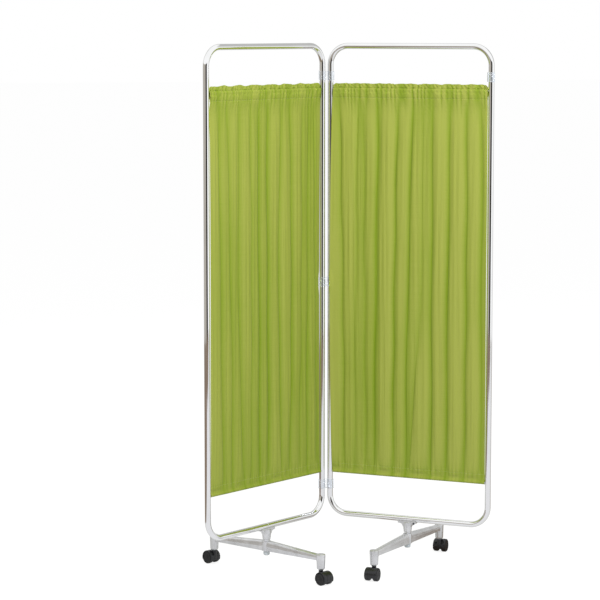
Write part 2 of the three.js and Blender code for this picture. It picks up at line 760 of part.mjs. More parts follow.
// A panel runs along +X from its hinge tube. Its front faces into the half open screen, and front
// tells on which side of the panel that is.
function makePanel(name, front, phase) {
  const panel = new THREE.Group();
  panel.name = `${name}_panel`;
  panel.add(mesh(`${name}_frame_tube`, frameTube(), chrome));
  panel.add(mesh(`${name}_upper_rod`, rod(upperRodHeight), brightSteel));
  panel.add(mesh(`${name}_lower_rod`, rod(lowerRodHeight), brightSteel));
  panel.add(mesh(`${name}_curtain`, curtain(phase), limeCloth));
  const foot = new THREE.Group();
  foot.position.x = panelWidth / 2;
  foot.add(mesh(`${name}_saddle`, saddle(front), castMetal));
  for (const { name: place, side, x } of screwPlaces(front)) {
    const screw = mesh(`${name}_saddle_screw_${place}`, saddleScrew(side), brightSteel);
    screw.position.set(x, 0, screwHeight);
    foot.add(screw);
  }
  foot.add(mesh(`${name}_post`, post(), brightSteel));
  const lockWasher = washer(lockWasherDiameter / 2, studDiameter / 2, lockWasherBottom, lockWasherThickness);
  foot.add(mesh(`${name}_post_washer`, lockWasher, brightSteel));
  const nutRadius = around(nutAcrossFlats / 2, nutSides);
  const nut = washer(nutRadius, studDiameter / 2, nutBottom, nutHeight, nutSides);
  foot.add(mesh(`${name}_post_nut`, nut, brightSteel));
  foot.add(mesh(`${name}_post_cap`, postCap(), paleNylon));
  panel.add(foot);
  return panel;
}

const screen = new THREE.Group();

const sides = [
  { name: "left", way: -1, turn: Math.PI + panelAngle, phase: 0.4 },
  { name: "right", way: 1, turn: -panelAngle, phase: 2.1 },
];
for (const { name, way, turn, phase } of sides) {
  const panel = makePanel(name, -way, phase);
  panel.position.x = (way * hingeSpacing) / 2;
  panel.rotation.z = turn;
  const leg = makeLeg(name, way * casterToe);
  leg.position.x = panelWidth / 2;
  leg.rotation.z = -way * (Math.PI / 2 + legSwing[name]);
  panel.add(leg);
  screen.add(panel);
}

[["top", 1], ["middle", 0], ["bottom", -1]].forEach(([place, way]) => {
  const clip = mesh(`${place}_connector`, connector(), clearPlastic);
  clip.position.z = connectorMiddle + way * connectorSpread;
  screen.add(clip);
});

// One jaw of the spare connector grips the right outer tube, and its mouths face away from the panel.
const spare = new THREE.Group();
const spareClip = mesh("spare_connector", connector(), clearPlastic);
spareClip.position.x = hingeSpacing / 2;
spare.add(spareClip);
spare.position.set(panelWidth, 0, connectorTop);
spare.rotation.z = spareTurn;
screen.getObjectByName("right_panel").add(spare);

// The origin is on the floor, under the middle of the whole screen.
screen.updateMatrixWorld(true);
const footprint = new THREE.Box3().setFromObject(screen, true).getCenter(new THREE.Vector3());
screen.position.set(-footprint.x, -footprint.y, 0);

export default screen;
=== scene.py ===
import json
from math import asin, atan2, cos, exp, pi, radians, sin, sqrt

import bpy
import numpy as np
from mathutils import Matrix, Vector


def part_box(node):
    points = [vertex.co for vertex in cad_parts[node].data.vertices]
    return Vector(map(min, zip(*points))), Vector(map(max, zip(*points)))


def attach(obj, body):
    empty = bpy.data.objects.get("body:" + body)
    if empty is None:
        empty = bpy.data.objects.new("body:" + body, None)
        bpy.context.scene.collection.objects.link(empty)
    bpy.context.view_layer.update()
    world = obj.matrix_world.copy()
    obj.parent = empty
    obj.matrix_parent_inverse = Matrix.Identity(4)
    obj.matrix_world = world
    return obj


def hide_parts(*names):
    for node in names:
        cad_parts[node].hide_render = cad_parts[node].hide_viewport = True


# A two panel ward screen on wheels: chromed tube frames, gathered lime curtains, clear snap
# connectors, cast legs and black twin wheel casters. All lengths are in metres.

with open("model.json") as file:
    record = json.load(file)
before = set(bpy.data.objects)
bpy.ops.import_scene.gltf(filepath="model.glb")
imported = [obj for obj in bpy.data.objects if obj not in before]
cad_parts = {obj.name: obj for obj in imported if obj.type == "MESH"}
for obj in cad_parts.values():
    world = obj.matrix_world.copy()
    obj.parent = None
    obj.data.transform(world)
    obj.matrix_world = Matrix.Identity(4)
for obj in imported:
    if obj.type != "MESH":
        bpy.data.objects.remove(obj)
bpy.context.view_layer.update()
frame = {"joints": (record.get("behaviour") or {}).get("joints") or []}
scene = bpy.context.scene

# Frame tube and rods
TUBE_RADIUS = 0.00955
BEND_RADIUS = 0.060
BEND_STEPS = 14
TUBE_SIDES = 40
TUBE_LIP = 0.0006  # how far the tube's ends are rolled in
TUBE_OVAL = 0.012  # how far a bend flattens the tube, as a share of its radius
FRAME_FOOT = 0.156  # floor to the bottom tube's centreline
FRAME_TOP = 1.69045
SEAM_GAP = 0.0003
ROD_RADIUS = 0.004
COPE_GAP = 0.00002  # between a rod's coped end and the side tube
UPPER_ROD = 1.55045
LOWER_ROD = 0.296

# Connectors
JAW_BORE = 0.00985
JAW_WALL = 0.0031
JAW_MOUTH = 0.015
JAW_FLARE = 0.0008
JAW_FILLET = 0.0012
CLIP_HEIGHT = 0.030
CLIP_WEB = 0.012
WEB_INSET = 0.003  # how much shorter the web is than the jaws
CLIP_LIP = 0.0018
LIP_FILLET = 0.0006
LIP_SIDES = 20
SPARE_TURN = radians(-73)

# Saddle and leg pivot
SADDLE_LENGTH = 0.062
SADDLE_DEPTH = 0.019
SADDLE_RISE = 0.0055
SADDLE_END = 0.0095
SADDLE_SWEEP = 0.011
SADDLE_STEPS = 8
SADDLE_FIT = 0.0006  # the casting's play round the tube and the post
SADDLE_BORE = 0.0275
SADDLE_FINISH = (0.0006, 3, 0.35)  # voxel size, smoothing passes, share of the faces kept
NECK_TOP = 0.0145
NECK_BOTTOM = 0.0124
NECK_FOOT = 0.1132
NECK_FILLET = 0.001
SCREW_INSET = 0.007
SCREW_DROP = 0.0034
SCREW_HEAD = [(0, -0.006), (0.0018, -0.006), (0.0018, 0), (0.0037, 0), (0.0037, 0.0011),
              (0.0026, 0.0023), (0, 0.0026)]
SCREW_SLOT = (0.0036, 0.0009, 0.003)
WASHER_FOOT = 0.1083
WASHER_HEIGHT = 0.0046
WASHER_RADIUS = 0.01125
WASHER_FILLET = 0.0007
POST_RADIUS = 0.006
POST_CHAMFER = 0.0008
STUD_RADIUS = 0.004
THREAD_PITCH = 0.00125
THREAD_ROOT = 0.0034
THREAD_FALL = 0.0006
NUT_REACH = 0.0065  # half the width across its flats
NUT_CHAMFER = 0.0009
NUT_BORE = 0.0043
LOCK_RADIUS = 0.0082
LOCK_FILLET = 0.0002
CAP_RADIUS = 0.01025
CAP_HEIGHT = 0.014
CAP_WALL = 0.0017
CAP_ROUND = 0.0048

# Leg casting
HUB_RADIUS = 0.0145
HUB_TOP = 0.108
HUB_FOOT = 0.075
HUB_FILLET = 0.0008
ARM_FOOT = 0.076
ARM_HUB_WIDTH = 0.024
ARM_SOCKET_WIDTH = 0.019
ARM_HUB_TOP = 0.110
ARM_SOCKET_TOP = 0.095
ARM_WALL = 0.0032
ARM_ROOF = 0.005
ARM_STEPS = 12
FLANK_SHARE = 0.5  # how much of the arm's height is upright flank
SHOULDER_SHARE = 0.72  # how much of its half width is rounded over
SHOULDER_STEPS = 6
RIDGE = 0.0005  # the parting line stands out, between two depths under the shoulder
RIDGE_SPAN = (0.0012, 0.0002)
RIB = 0.003
POCKETS = 3
SOCKET_TOP_RADIUS = 0.0148
SOCKET_FOOT_RADIUS = 0.01325
SOCKET_TOP = 0.097
SOCKET_FOOT = 0.048
SOCKET_FILLET = 0.0036
SLEEVE_RADIUS = 0.0065
SLEEVE_LENGTH = 0.024
SLEEVE_FIT = 0.0004
FLANGE_RADIUS = 0.00825
FLANGE_FOOT = 0.0461
FLANGE_TOP = 0.0477
POST_FIT = 0.0005
CAST_FINISH = (0.0009, 4, 0.3)

# Casters
WHEEL_RADIUS = 0.020
WHEEL_WIDTH = 0.015
WHEEL_GAP = 0.013
# The wheel's outer face: each point's radius, and how far it stands out of the face
WHEEL_FACE = [(0.0182, 0), (0.0158, 0), (0.0152, -0.0010), (0.0068, -0.0006), (0.0062, -0.0001),
              (0.0022, 0.0001), (0.0018, -0.0004), (0, -0.0004)]
WHEEL_SIDES = 64
MARK_RADIUS = 0.0013
MARK_CIRCLE = 0.0112
HOOD_RADIUS = 0.023
HOOD_WIDTH = 0.041
HOOD_FILLET = 0.0032
HOOD_LIP = 0.012
HOOD_WALL = 0.0021
HOOD_SIDES = 72
WELL_FIT = 0.0005  # the play between a wheel and the hood's middle wall
GROOVE = 0.0005  # depth and half width of the two lines round the hood
GROOVE_INSET = 0.0006
BOSS_RADIUS = 0.00725
BOSS_FLARE = 0.002
BOSS_TOP = 0.0458
BOSS_FILLET = 0.0007
STEM_RADIUS = 0.004
STEM_BORE = 0.0103
STEM_NECK = 0.0006  # depth of the groove near the stem's top
AXLE_RADIUS = 0.0025
AXLE_REACH = 0.011  # into each wheel

FINE = 48
ROUND = 32
FIT = 0.0003  # the play between parts that sit in or against each other
OVERCUT = 0.002  # how far a cutting tool runs past a face
UP = Vector((0, 0, 1))
TURN_X = Matrix.Rotation(-pi / 2, 4, "X")  # from about Z to about Y
TURN_Y = Matrix.Rotation(pi / 2, 4, "Y")  # from about Z to about X


def shift(x, y=0.0, z=0.0):
    return Matrix.Translation((x, y, z))


def standing(origin, toward):
    """A frame with its origin there, +Z up and +X towards the other point."""
    x = (toward - origin).normalized()
    axes = Matrix((x, UP.cross(x), UP)).transposed().to_4x4()
    return shift(*origin) @ axes


# Where each joint's axis, or its point, stands on the floor
FEET = {joint["name"]: Vector((*joint["pos_m"][:2], 0)) for joint in frame["joints"]}
PANELS = {
    "left": standing(FEET["connector_fold"], FEET["left_leg_swing"]),
    "right": standing(FEET["panel_fold"], FEET["right_leg_swing"]),
}
HALF_PANEL = (FEET["left_leg_swing"] - FEET["connector_fold"]).length
PANEL_WIDTH = 2 * HALF_PANEL
JAW_PITCH = (FEET["panel_fold"] - FEET["connector_fold"]).length
FRONT = {"left": 1, "right": -1}  # side of the panel's own Y that faces the camera
LEGS = {
    side: standing(FEET[f"{side}_leg_swing"], FEET[f"{side}_front_swivel"]) for side in PANELS
}
ARM_LENGTH = (FEET["left_front_swivel"] - FEET["left_leg_swing"]).length
CASTERS = {
    name: standing(FEET[f"{name}_swivel"], FEET[f"{name}_roll_a"])
    for name in [f"{side}_{end}" for side in PANELS for end in ("front", "back")]
}
TRAIL = (FEET["left_front_roll_a"] - FEET["left_front_swivel"]).length


def linked(name, data):
    """A new object in the scene."""
    obj = bpy.data.objects.new(name, data)
    scene.collection.objects.link(obj)
    return obj


# Camera
CAMERA_PLACE = (-1.7281, -6.9381, 1.7637)
CAMERA_YAW = -13.0
CAMERA_PITCH = -6.12
CAMERA_LENS = 134.85
CAMERA_SENSOR = 36
CAMERA_SHIFT_Y = -0.06
CAMERA_FAR = 200


def make_camera():
    data = bpy.data.cameras.new("camera")
    data.lens = CAMERA_LENS
    data.sensor_width = CAMERA_SENSOR
    data.shift_y = CAMERA_SHIFT_Y
    data.clip_end = CAMERA_FAR
    camera = linked("camera", data)
    camera.location = CAMERA_PLACE
    camera.rotation_euler = (radians(90 + CAMERA_PITCH), 0, radians(CAMERA_YAW))
    scene.camera = camera


# Materials


class Graph:
    """A node tree. Its methods take values or output sockets, and return output sockets."""

    def __init__(self, owner):
        owner.use_nodes = True
        self.tree = owner.node_tree

    def feed(self, socket, value):
        if isinstance(value, bpy.types.NodeSocket):
            self.tree.links.new(value, socket)
        else:
            socket.default_value = value

    def node(self, kind, inputs=None, **settings):
        made = self.tree.nodes.new(f"ShaderNode{kind}")
        for key, value in settings.items():
            setattr(made, key, value)
        for key, value in (inputs or {}).items():
            self.feed(made.inputs[key], value)
        return made

    def math(self, operation, a, b=0.0):
        return self.node("Math", {0: a, 1: b}, operation=operation).outputs[0]

    def weighed(self, a, share_a, b, share_b):
        first, second = self.math("MULTIPLY", a, share_a), self.math("MULTIPLY", b, share_b)
        return self.math("ADD", first, second)

    def ranged(self, value, low, high, start=0.3, end=0.7):
        inputs = {"Value": value, "From Min": start, "From Max": end, "To Min": low, "To Max": high}
        return self.node("MapRange", inputs).outputs["Result"]

    def ramp(self, factor, stops):
        """A colour by a factor, between stops that each have a position and a colour."""
        made = self.node("ValToRGB", {"Fac": factor})
        elements = made.color_ramp.elements
        while len(elements) < len(stops):
            elements.new(0.5)
        for element, (position, color) in zip(elements, stops):
            element.position = position
            element.color = (*color, 1)
        return made.outputs["Color"]

    def seen_directly(self):
        """1 for camera, glossy and transmission rays, else 0."""
        rays = self.node("LightPath").outputs
        bent = self.math("MAXIMUM", rays["Is Glossy Ray"], rays["Is Transmission Ray"])
        return self.math("MAXIMUM", rays["Is Camera Ray"], bent)


class Surface(Graph):
    """A node material around one Principled shader."""

    def __init__(self, name, **values):
        self.material = bpy.data.materials.new(name)
        super().__init__(self.material)
        self.finish(**values)

    def noise(self, scale, detail=2, stretch=(1, 1, 1), kind="Object"):
        place = self.node("TexCoord").outputs[kind]
        mapping = self.node("Mapping", {"Vector": place, "Scale": stretch})
        inputs = {"Vector": mapping.outputs["Vector"], "Scale": scale, "Detail": detail}
        return self.node("TexNoise", inputs).outputs["Fac"]

    def bump(self, height, strength, distance):
        inputs = {"Height": height, "Strength": strength, "Distance": distance}
        return self.node("Bump", inputs).outputs["Normal"]

    def finish(self, **values):
        shader = self.tree.nodes["Principled BSDF"]
        for socket, value in values.items():
            self.feed(shader.inputs[socket.replace("_", " ")], value)
        return self.material


def plain_material(name, tone, rough, grain, band=(0.3, 0.7), **values):
    """A material of three noises: tone has two colours, rough two roughnesses, grain a bump."""
    s = Surface(name, **values)
    return s.finish(
        Base_Color=s.ramp(s.noise(*tone[0]), list(zip(band, tone[1:]))),
        Roughness=s.ranged(s.noise(*rough[0]), *rough[1:]),
        Normal=s.bump(s.noise(*grain[0]), *grain[1:]),
    )


def cast_material():
    """Silver lacquered die casting: satin, finely pebbled, with painted highlights on its edges and
    painted shade in its hollows.
    """
    s = Surface("cast_metal", Metallic=0.8)
    cloud = s.noise(28, 4)
    # Painted light: Pointiness paints the edges brighter, a painted highlight, and the hollows
    # darker, a painted shade
    edge = s.node("NewGeometry").outputs["Pointiness"]
    tone = s.weighed(cloud, 0.35, edge, 0.65)
    return s.finish(
        Base_Color=s.ramp(tone, [(0.40, (0.60, 0.605, 0.615)), (0.60, (0.88, 0.885, 0.90))]),
        Roughness=s.ranged(cloud, 0.25, 0.35),
        Normal=s.bump(s.noise(1500, 3), 0.08, 0.0002),
    )


THREADS_PER_METRE = 1900


def cloth_material():
    """Plain woven lime polyester, with painted light and shade on its folds. Its threads follow the
    cloth through the map of its flat cut.
    """
    s = Surface(
        "green_cloth", Roughness=0.7, Sheen_Weight=0.09, Sheen_Roughness=0.5,
        Sheen_Tint=(0.86, 0.90, 0.60, 1), Specular_IOR_Level=0.25,
    )
    uv = s.node("TexCoord").outputs["UV"]
    split = s.node("SeparateXYZ", {"Vector": uv}).outputs
    wave = 2 * pi * THREADS_PER_METRE / 2
    threads = [s.math("SINE", s.math("MULTIPLY", split[axis], wave)) for axis in ("X", "Y")]
    weave = s.math("MULTIPLY", *threads)
    warp_slub = s.noise(1, 3, (900, 9, 1), "UV")
    weft_slub = s.noise(1, 3, (11, 800, 1), "UV")
    slub = s.weighed(warp_slub, 0.5, weft_slub, 0.5)
    dye = s.noise(2.2, 3, (1, 1, 1), "UV")
    tone = s.weighed(slub, 0.6, dye, 0.4)
    tone = s.math("ADD", tone, s.math("MULTIPLY", weave, 0.03))
    # Painted light and shade: the crest attribute paints the fold crests and gathers pale and the
    # creases deep green
    crest = s.node("Attribute", attribute_name="crest").outputs["Fac"]
    tone = s.weighed(tone, 0.45, crest, 0.30)
    # The ramp holds the dye's slubs and patches, and the painted light: its deep end is painted
    # crease shade, its pale end painted crest highlight
    return s.finish(
        Base_Color=s.ramp(tone, [(0.22, (0.250, 0.374, 0.010)), (0.54, (0.452, 0.506, 0.084))]),
        Normal=s.bump(s.weighed(weave, 0.5, slub, 1.5), 0.22, 0.0003),
    )


def thread_material():
    """Paler polyester sewing thread, twisted."""
    s = Surface("sewing_thread", Roughness=0.6, Sheen_Weight=0.2)
    twist = s.noise(2600, 2, (1, 1, 0.4))
    color = s.ramp(twist, [(0.3, (0.46, 0.50, 0.16)), (0.7, (0.64, 0.68, 0.30))])
    return s.finish(Base_Color=color, Normal=s.bump(twist, 0.3, 0.0001))


MATERIALS = {
    # Plated tube: a mirror with faint handling marks and the slight ripple of drawn tube
    "chrome_tube": plain_material(
        "chrome",
        tone=((14, 4), (0.90, 0.905, 0.91), (0.95, 0.955, 0.96)),
        rough=((14, 4), 0.035, 0.085),
        grain=((45, 2, (1, 1, 0.15)), 0.04, 0.0003),
        Metallic=1.0,
    ),
    # Zinc plated small parts, with turning marks and a little staining
    "bright_steel": plain_material(
        "bright_steel",
        tone=((60, 4), (0.80, 0.81, 0.83), (0.93, 0.94, 0.95)),
        rough=((900, 3, (1, 1, 6)), 0.13, 0.26),
        grain=((900, 3, (1, 1, 6)), 0.12, 0.0001),
        Metallic=1.0,
    ),
    "cast_metal": cast_material(),
    # Clear moulded plastic with a faint blue cast and slight flow marks
    "clear_plastic": plain_material(
        "clear_plastic",
        tone=((110, 3, (1, 1, 0.4)), (0.94, 0.965, 1.0), (0.97, 0.985, 1.0)),
        rough=((110, 3, (1, 1, 0.4)), 0.01, 0.05),
        grain=((110, 3, (1, 1, 0.4)), 0.03, 0.0003),
        IOR=1.035, Transmission_Weight=0.95, Coat_Weight=0.14, Coat_Roughness=0.05,
    ),
    # Natural nylon: milky, with a soft shine
    "pale_nylon": plain_material(
        "pale_nylon",
        tone=((70, 3), (0.72, 0.78, 0.82), (0.80, 0.85, 0.88)),
        rough=((70, 3), 0.32, 0.44),
        grain=((700, 2), 0.05, 0.0003),
        Subsurface_Weight=0.25, Subsurface_Scale=0.003, Subsurface_Radius=(1.0, 0.9, 0.8),
    ),
    # Black nylon hoods: a fine moulded grain and dusty high places
    "black_nylon": plain_material(
        "black_nylon",
        tone=((55, 4), (0.007, 0.007, 0.009), (0.017, 0.018, 0.022)),
        rough=((55, 4), 0.22, 0.36),
        grain=((1400, 3), 0.12, 0.0002),
        Specular_IOR_Level=0.55,
    ),
    # Black wheels: duller, scuffed round the tread
    "black_tread": plain_material(
        "black_tread",
        tone=((160, 5), (0.006, 0.006, 0.007), (0.020, 0.020, 0.021)),
        rough=((160, 5), 0.42, 0.62),
        grain=((900, 4), 0.15, 0.0002),
        band=(0.4, 0.75), Specular_IOR_Level=0.4,
    ),
    "green_cloth": cloth_material(),
}
# Dark screw heads, put on the right saddle only; the left saddle's screws are bright steel
SCREW_MATERIAL = plain_material(
    "dark_screw",
    tone=((1200, 3), (0.09, 0.09, 0.095), (0.16, 0.16, 0.17)),
    rough=((1200, 3), 0.3, 0.5),
    grain=((1200, 3), 0.15, 0.0001),
    Metallic=0.9,
)
THREAD_MATERIAL = thread_material()


# Shapes. A shape is a pair: a list of points and a list of faces, closed and facing out.


def mesh_of(shape, name="raw"):
    points, faces = shape
    mesh = bpy.data.meshes.new(name)
    mesh.from_pydata([tuple(p) for p in points], [], faces)
    mesh.update()
    return mesh


def volume(shape):
    """Six times the volume, negative for a shape whose faces look in."""
    points, faces = shape
    total = 0.0
    for face in faces:
        a = Vector(points[face[0]])
        for b, c in zip(face[1:], face[2:]):
            total += a.dot(Vector(points[b]).cross(Vector(points[c])))
    return total


def outward(shape):
    points, faces = shape
    if volume(shape) < 0:
        faces = [tuple(reversed(face)) for face in faces]
    return points, faces


def moved(shape, matrix):
    points, faces = shape
    return outward(([matrix @ Vector(p) for p in points], faces))


def joined(shapes):
    points, faces = [], []
    for more_points, more_faces in shapes:
        start = len(points)
        points += list(more_points)
        faces += [tuple(k + start for k in face) for face in more_faces]
    return points, faces


def evaluated(obj):
    """The shape of an object with its modifiers, which is then removed."""
    depsgraph = bpy.context.evaluated_depsgraph_get()
    mesh = bpy.data.meshes.new_from_object(obj.evaluated_get(depsgraph))
    points = [v.co.copy() for v in mesh.vertices]
    faces = [tuple(p.vertices) for p in mesh.polygons]
    bpy.data.objects.remove(obj)
    return points, faces


def combined(base, adds=(), cuts=(), within=()):
    """Base joined with all of adds, kept inside all of within, then cut by all of cuts."""
    target = linked("raw", mesh_of(base))
    tools = []
    for shapes, operation in ((adds, "UNION"), (within, "INTERSECT"), (cuts, "DIFFERENCE")):
        for shape in shapes:
            tools.append(linked("raw", mesh_of(shape)))
            modifier = target.modifiers.new("tool", "BOOLEAN")
            modifier.operation = operation
            modifier.solver = "EXACT"
            modifier.object = tools[-1]
    result = evaluated(target)
    for tool in tools:
        bpy.data.objects.remove(tool)
    return result


def softened(shape, voxel, passes, keep):
    """A casting's fillets: the shape remeshed finely, smoothed, and thinned to a share of it."""
    obj = linked("raw", mesh_of(shape))
    remesh = obj.modifiers.new("remesh", "REMESH")
    remesh.mode = "VOXEL"
    remesh.voxel_size = voxel
    smooth = obj.modifiers.new("smooth", "SMOOTH")
    smooth.factor = 0.5
    smooth.iterations = passes
    thin = obj.modifiers.new("thin", "DECIMATE")
    thin.ratio = keep
    return evaluated(obj)


def turns(count):
    """The angles of even steps round a circle."""
    return [2 * pi * k / count for k in range(count)]


def polar(radius, turn, z=0.0):
    return Vector((radius * cos(turn), radius * sin(turn), z))


def bend(start, control, end, steps):
    """Points of a curve that leaves and reaches its ends along the lines to the control point."""
    start, control, end = Vector(start), Vector(control), Vector(end)
    curve = []
    for k in range(steps + 1):
        t = k / steps
        curve.append(tuple(start * (1 - t) ** 2 + control * 2 * t * (1 - t) + end * t * t))
    return curve


def rounded(profile, fillet, steps=3):
    """A profile with a small curve in place of each inner corner, not at its two ends."""
    out = [profile[0]]
    for before, here, after in zip(profile, profile[1:], profile[2:]):
        here = Vector(here)
        arms = [Vector(before) - here, Vector(after) - here]
        reach = min(fillet, 0.45 * arms[0].length, 0.45 * arms[1].length)
        start, end = (here + arm.normalized() * reach for arm in arms)
        out += bend(start, here, end, steps)
    out.append(profile[-1])
    return out


def revolved(profile, fillet=0.0, sides=FINE):
    """A round solid about Z, from points (radius, height) that start and end on the axis."""
    points, rings = [], []
    for radius, height in rounded(profile, fillet) if fillet else profile:
        # On the axis a ring is one point, and the faces beside it are triangles
        ring = [polar(radius, turn, height) for turn in turns(sides if radius > 1e-7 else 1)]
        rings.append(range(len(points), len(points) + len(ring)))
        points += ring
    faces = []
    for low, high in zip(rings, rings[1:]):
        for k in range(sides):
            steps = ((low, k), (low, k + 1), (high, k + 1), (high, k))
            corners = tuple(dict.fromkeys(ring[step % len(ring)] for ring, step in steps))
            if len(corners) > 2:
                faces.append(corners)
    return outward((points, faces))


def cylinder(radius, low, high, fillet=0.0, sides=FINE):
    return revolved([(0, low), (radius, low), (radius, high), (0, high)], fillet, sides)


def lofted(rings):
    """A skin over equal rings of points, closed by a face at each end."""
    count = len(rings[0])
    last = (len(rings) - 1) * count
    points = [p for ring in rings for p in ring]
    faces = []
    for start in range(0, last, count):
        for k in range(count):
            a, b = start + k, start + (k + 1) % count
            faces.append((a, b, b + count, a + count))
    faces.append(tuple(reversed(range(count))))
    faces.append(tuple(range(last, last + count)))
    return outward((points, faces))


def flat_ring(outer, inner, low, high, fillet, sides=FINE):
    """A washer: an eight sided section carried round Z."""
    section = [
        (inner, low + fillet), (inner + fillet, low), (outer - fillet, low), (outer, low + fillet),
        (outer, high - fillet), (outer - fillet, high), (inner + fillet, high),
        (inner, high - fillet),
    ]
    count = len(section)
    points = [polar(radius, turn, z) for turn in turns(sides) for radius, z in section]
    faces = []
    for k in range(sides):
        near, far = k * count, ((k + 1) % sides) * count
        for i in range(count):
            j = (i + 1) % count
            faces.append((near + i, near + j, far + j, far + i))
    return outward((points, faces))


def plate(outline, depth):
    """An outline in X and Z, given depth along Y about the middle plane."""
    return lofted([[Vector((x, y, z)) for x, z in outline] for y in (-depth / 2, depth / 2)])


def block(size, centre=(0, 0, 0)):
    x, y, z = Vector(size) / 2
    corners = [(-x, -y), (x, -y), (x, y), (-x, y)]
    middle = Vector(centre)
    return lofted([[middle + Vector((*corner, level)) for corner in corners] for level in (-z, z)])


SMOOTH_ANGLE = radians(38)


def worn(name, mesh, material, body):
    """A smooth object that rides on a body."""
    mesh.shade_smooth()
    mesh.materials.append(material)
    obj = linked(name, mesh)
    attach(obj, body)
    return obj


def piece(name, shape, place, body, slot, node, material=None):
    """A finished piece that stands for a CAD node and rides on its body."""
    mesh = mesh_of(moved(shape, place), name)
    obj = worn(name, mesh, material or MATERIALS[slot], body)
    mesh.set_sharp_from_angle(angle=SMOOTH_ANGLE)
    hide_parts(node)


# Frame tube and rods


def frame_tube():
    """The bent tube, from the seam in its bottom run right round to the seam.

    It is slightly oval through its bends, and its ends are rolled in.
    """
    run_x = PANEL_WIDTH / 2 - BEND_RADIUS
    run_z = (FRAME_TOP - FRAME_FOOT) / 2 - BEND_RADIUS
    middle = Vector((PANEL_WIDTH / 2, 0, (FRAME_TOP + FRAME_FOOT) / 2))
    foot = middle + Vector((0, 0, -run_z - BEND_RADIUS))
    seam, lip = Vector((SEAM_GAP / 2, 0, 0)), Vector((TUBE_LIP, 0, 0))
    rings = []

    def ring(place, turn, radius=TUBE_RADIUS, oval=0.0):
        out = Vector((sin(turn), 0, -cos(turn)))
        rings.append([])
        for angle in turns(TUBE_SIDES):
            offset = out * (cos(angle) * radius * (1 - oval))
            across = Vector((0, sin(angle) * radius * (1 + oval), 0))
            rings[-1].append(place + offset + across)

    ring(foot + seam, 0.0, TUBE_RADIUS - TUBE_LIP)
    ring(foot + seam + lip, 0.0)
    for corner, (side_x, side_z) in enumerate(((1, -1), (1, 1), (-1, 1), (-1, -1))):
        centre = middle + Vector((side_x * run_x, 0, side_z * run_z))
        for step in range(BEND_STEPS + 1):
            turn = (corner + step / BEND_STEPS) * pi / 2
            arc = Vector((sin(turn), 0, -cos(turn))) * BEND_RADIUS
            ring(centre + arc, turn, oval=TUBE_OVAL * sin(pi * step / BEND_STEPS))
    ring(foot - seam - lip, 2 * pi)
    ring(foot - seam, 2 * pi, TUBE_RADIUS - TUBE_LIP)
    return lofted(rings)


def rod():
    """A rod along X whose ends are coped to the side tubes."""
    rings = []
    for start, way in ((0, 1), (PANEL_WIDTH, -1)):
        rings.append([])
        for angle in turns(ROUND):
            y, z = ROD_RADIUS * cos(angle), ROD_RADIUS * sin(angle)
            reach = sqrt((TUBE_RADIUS + COPE_GAP) ** 2 - y * y)
            rings[-1].append(Vector((start + way * reach, y, z)))
    return lofted(rings)


def make_frames():
    for side, place in PANELS.items():
        body = f"{side}_panel"
        piece(f"{side}_tube_loop", frame_tube(), place, body, "chrome_tube", f"{side}_frame_tube")
        for level, height in (("upper", UPPER_ROD), ("lower", LOWER_ROD)):
            lift = place @ shift(0, 0, height)
            node = f"{side}_{level}_rod"
            piece(f"{node}_bar", rod(), lift, body, "bright_steel", node)


# Connectors


def connector():
    """Two jaws in one moulding, each open at the back, with rolled lips and softened ends."""
    half = CLIP_HEIGHT / 2
    outer = JAW_BORE + JAW_WALL
    depth = outer + 2 * OVERCUT
    mouth = asin(JAW_MOUTH / 2 / JAW_BORE)
    reach = JAW_BORE + JAW_WALL / 2
    web = block((JAW_PITCH, CLIP_WEB, CLIP_HEIGHT - WEB_INSET))
    wide, short, long = JAW_BORE + 2 * JAW_FLARE, half - JAW_FLARE, half + JAW_FLARE
    bore = revolved(
        [(0, -long), (wide, -long), (JAW_BORE, -short), (JAW_BORE, short), (wide, long), (0, long)]
    )
    jaws, bores, mouths, lips = [], [], [], []
    for side in (-1, 1):
        centre = Vector((side * JAW_PITCH / 2, 0, 0))
        jaws.append(moved(cylinder(outer, -half, half, JAW_FILLET), shift(*centre)))
        bores.append(moved(bore, shift(*centre)))
        opening = centre + Vector((0, depth / 2, 0))
        mouths.append(block((JAW_MOUTH, depth, 2 * CLIP_HEIGHT), opening))
        for way in (-1, 1):
            across = way * (reach * sin(mouth) + CLIP_LIP / 2)
            spot = centre + Vector((across, reach * cos(mouth), 0))
            lip = cylinder(CLIP_LIP, -half, half, LIP_FILLET, LIP_SIDES)
            lips.append(moved(lip, shift(*spot)))
    body = combined(jaws[0], [jaws[1], web], [*bores, *mouths])
    return combined(body, lips, bores)


def make_connectors():
    shape = connector()
    middle = shift(*(FEET["panel_fold"] + FEET["connector_fold"]) / 2)
    turn = PANELS["right"].to_quaternion().to_matrix().to_4x4()
    turn = turn @ Matrix.Rotation(SPARE_TURN, 4, "Z") @ shift(JAW_PITCH / 2)
    spare = shift(*FEET["spare_connector_turn"]) @ turn
    for name, foot, body in (
        ("top", middle, "connectors"), ("middle", middle, "connectors"),
        ("bottom", middle, "connectors"), ("spare", spare, "spare_connector"),
    ):
        low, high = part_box(f"{name}_connector")
        place = shift(0, 0, (low.z + high.z) / 2) @ foot
        piece(f"{name}_clip", shape, place, body, "clear_plastic", f"{name}_connector")


# Saddles and pivots


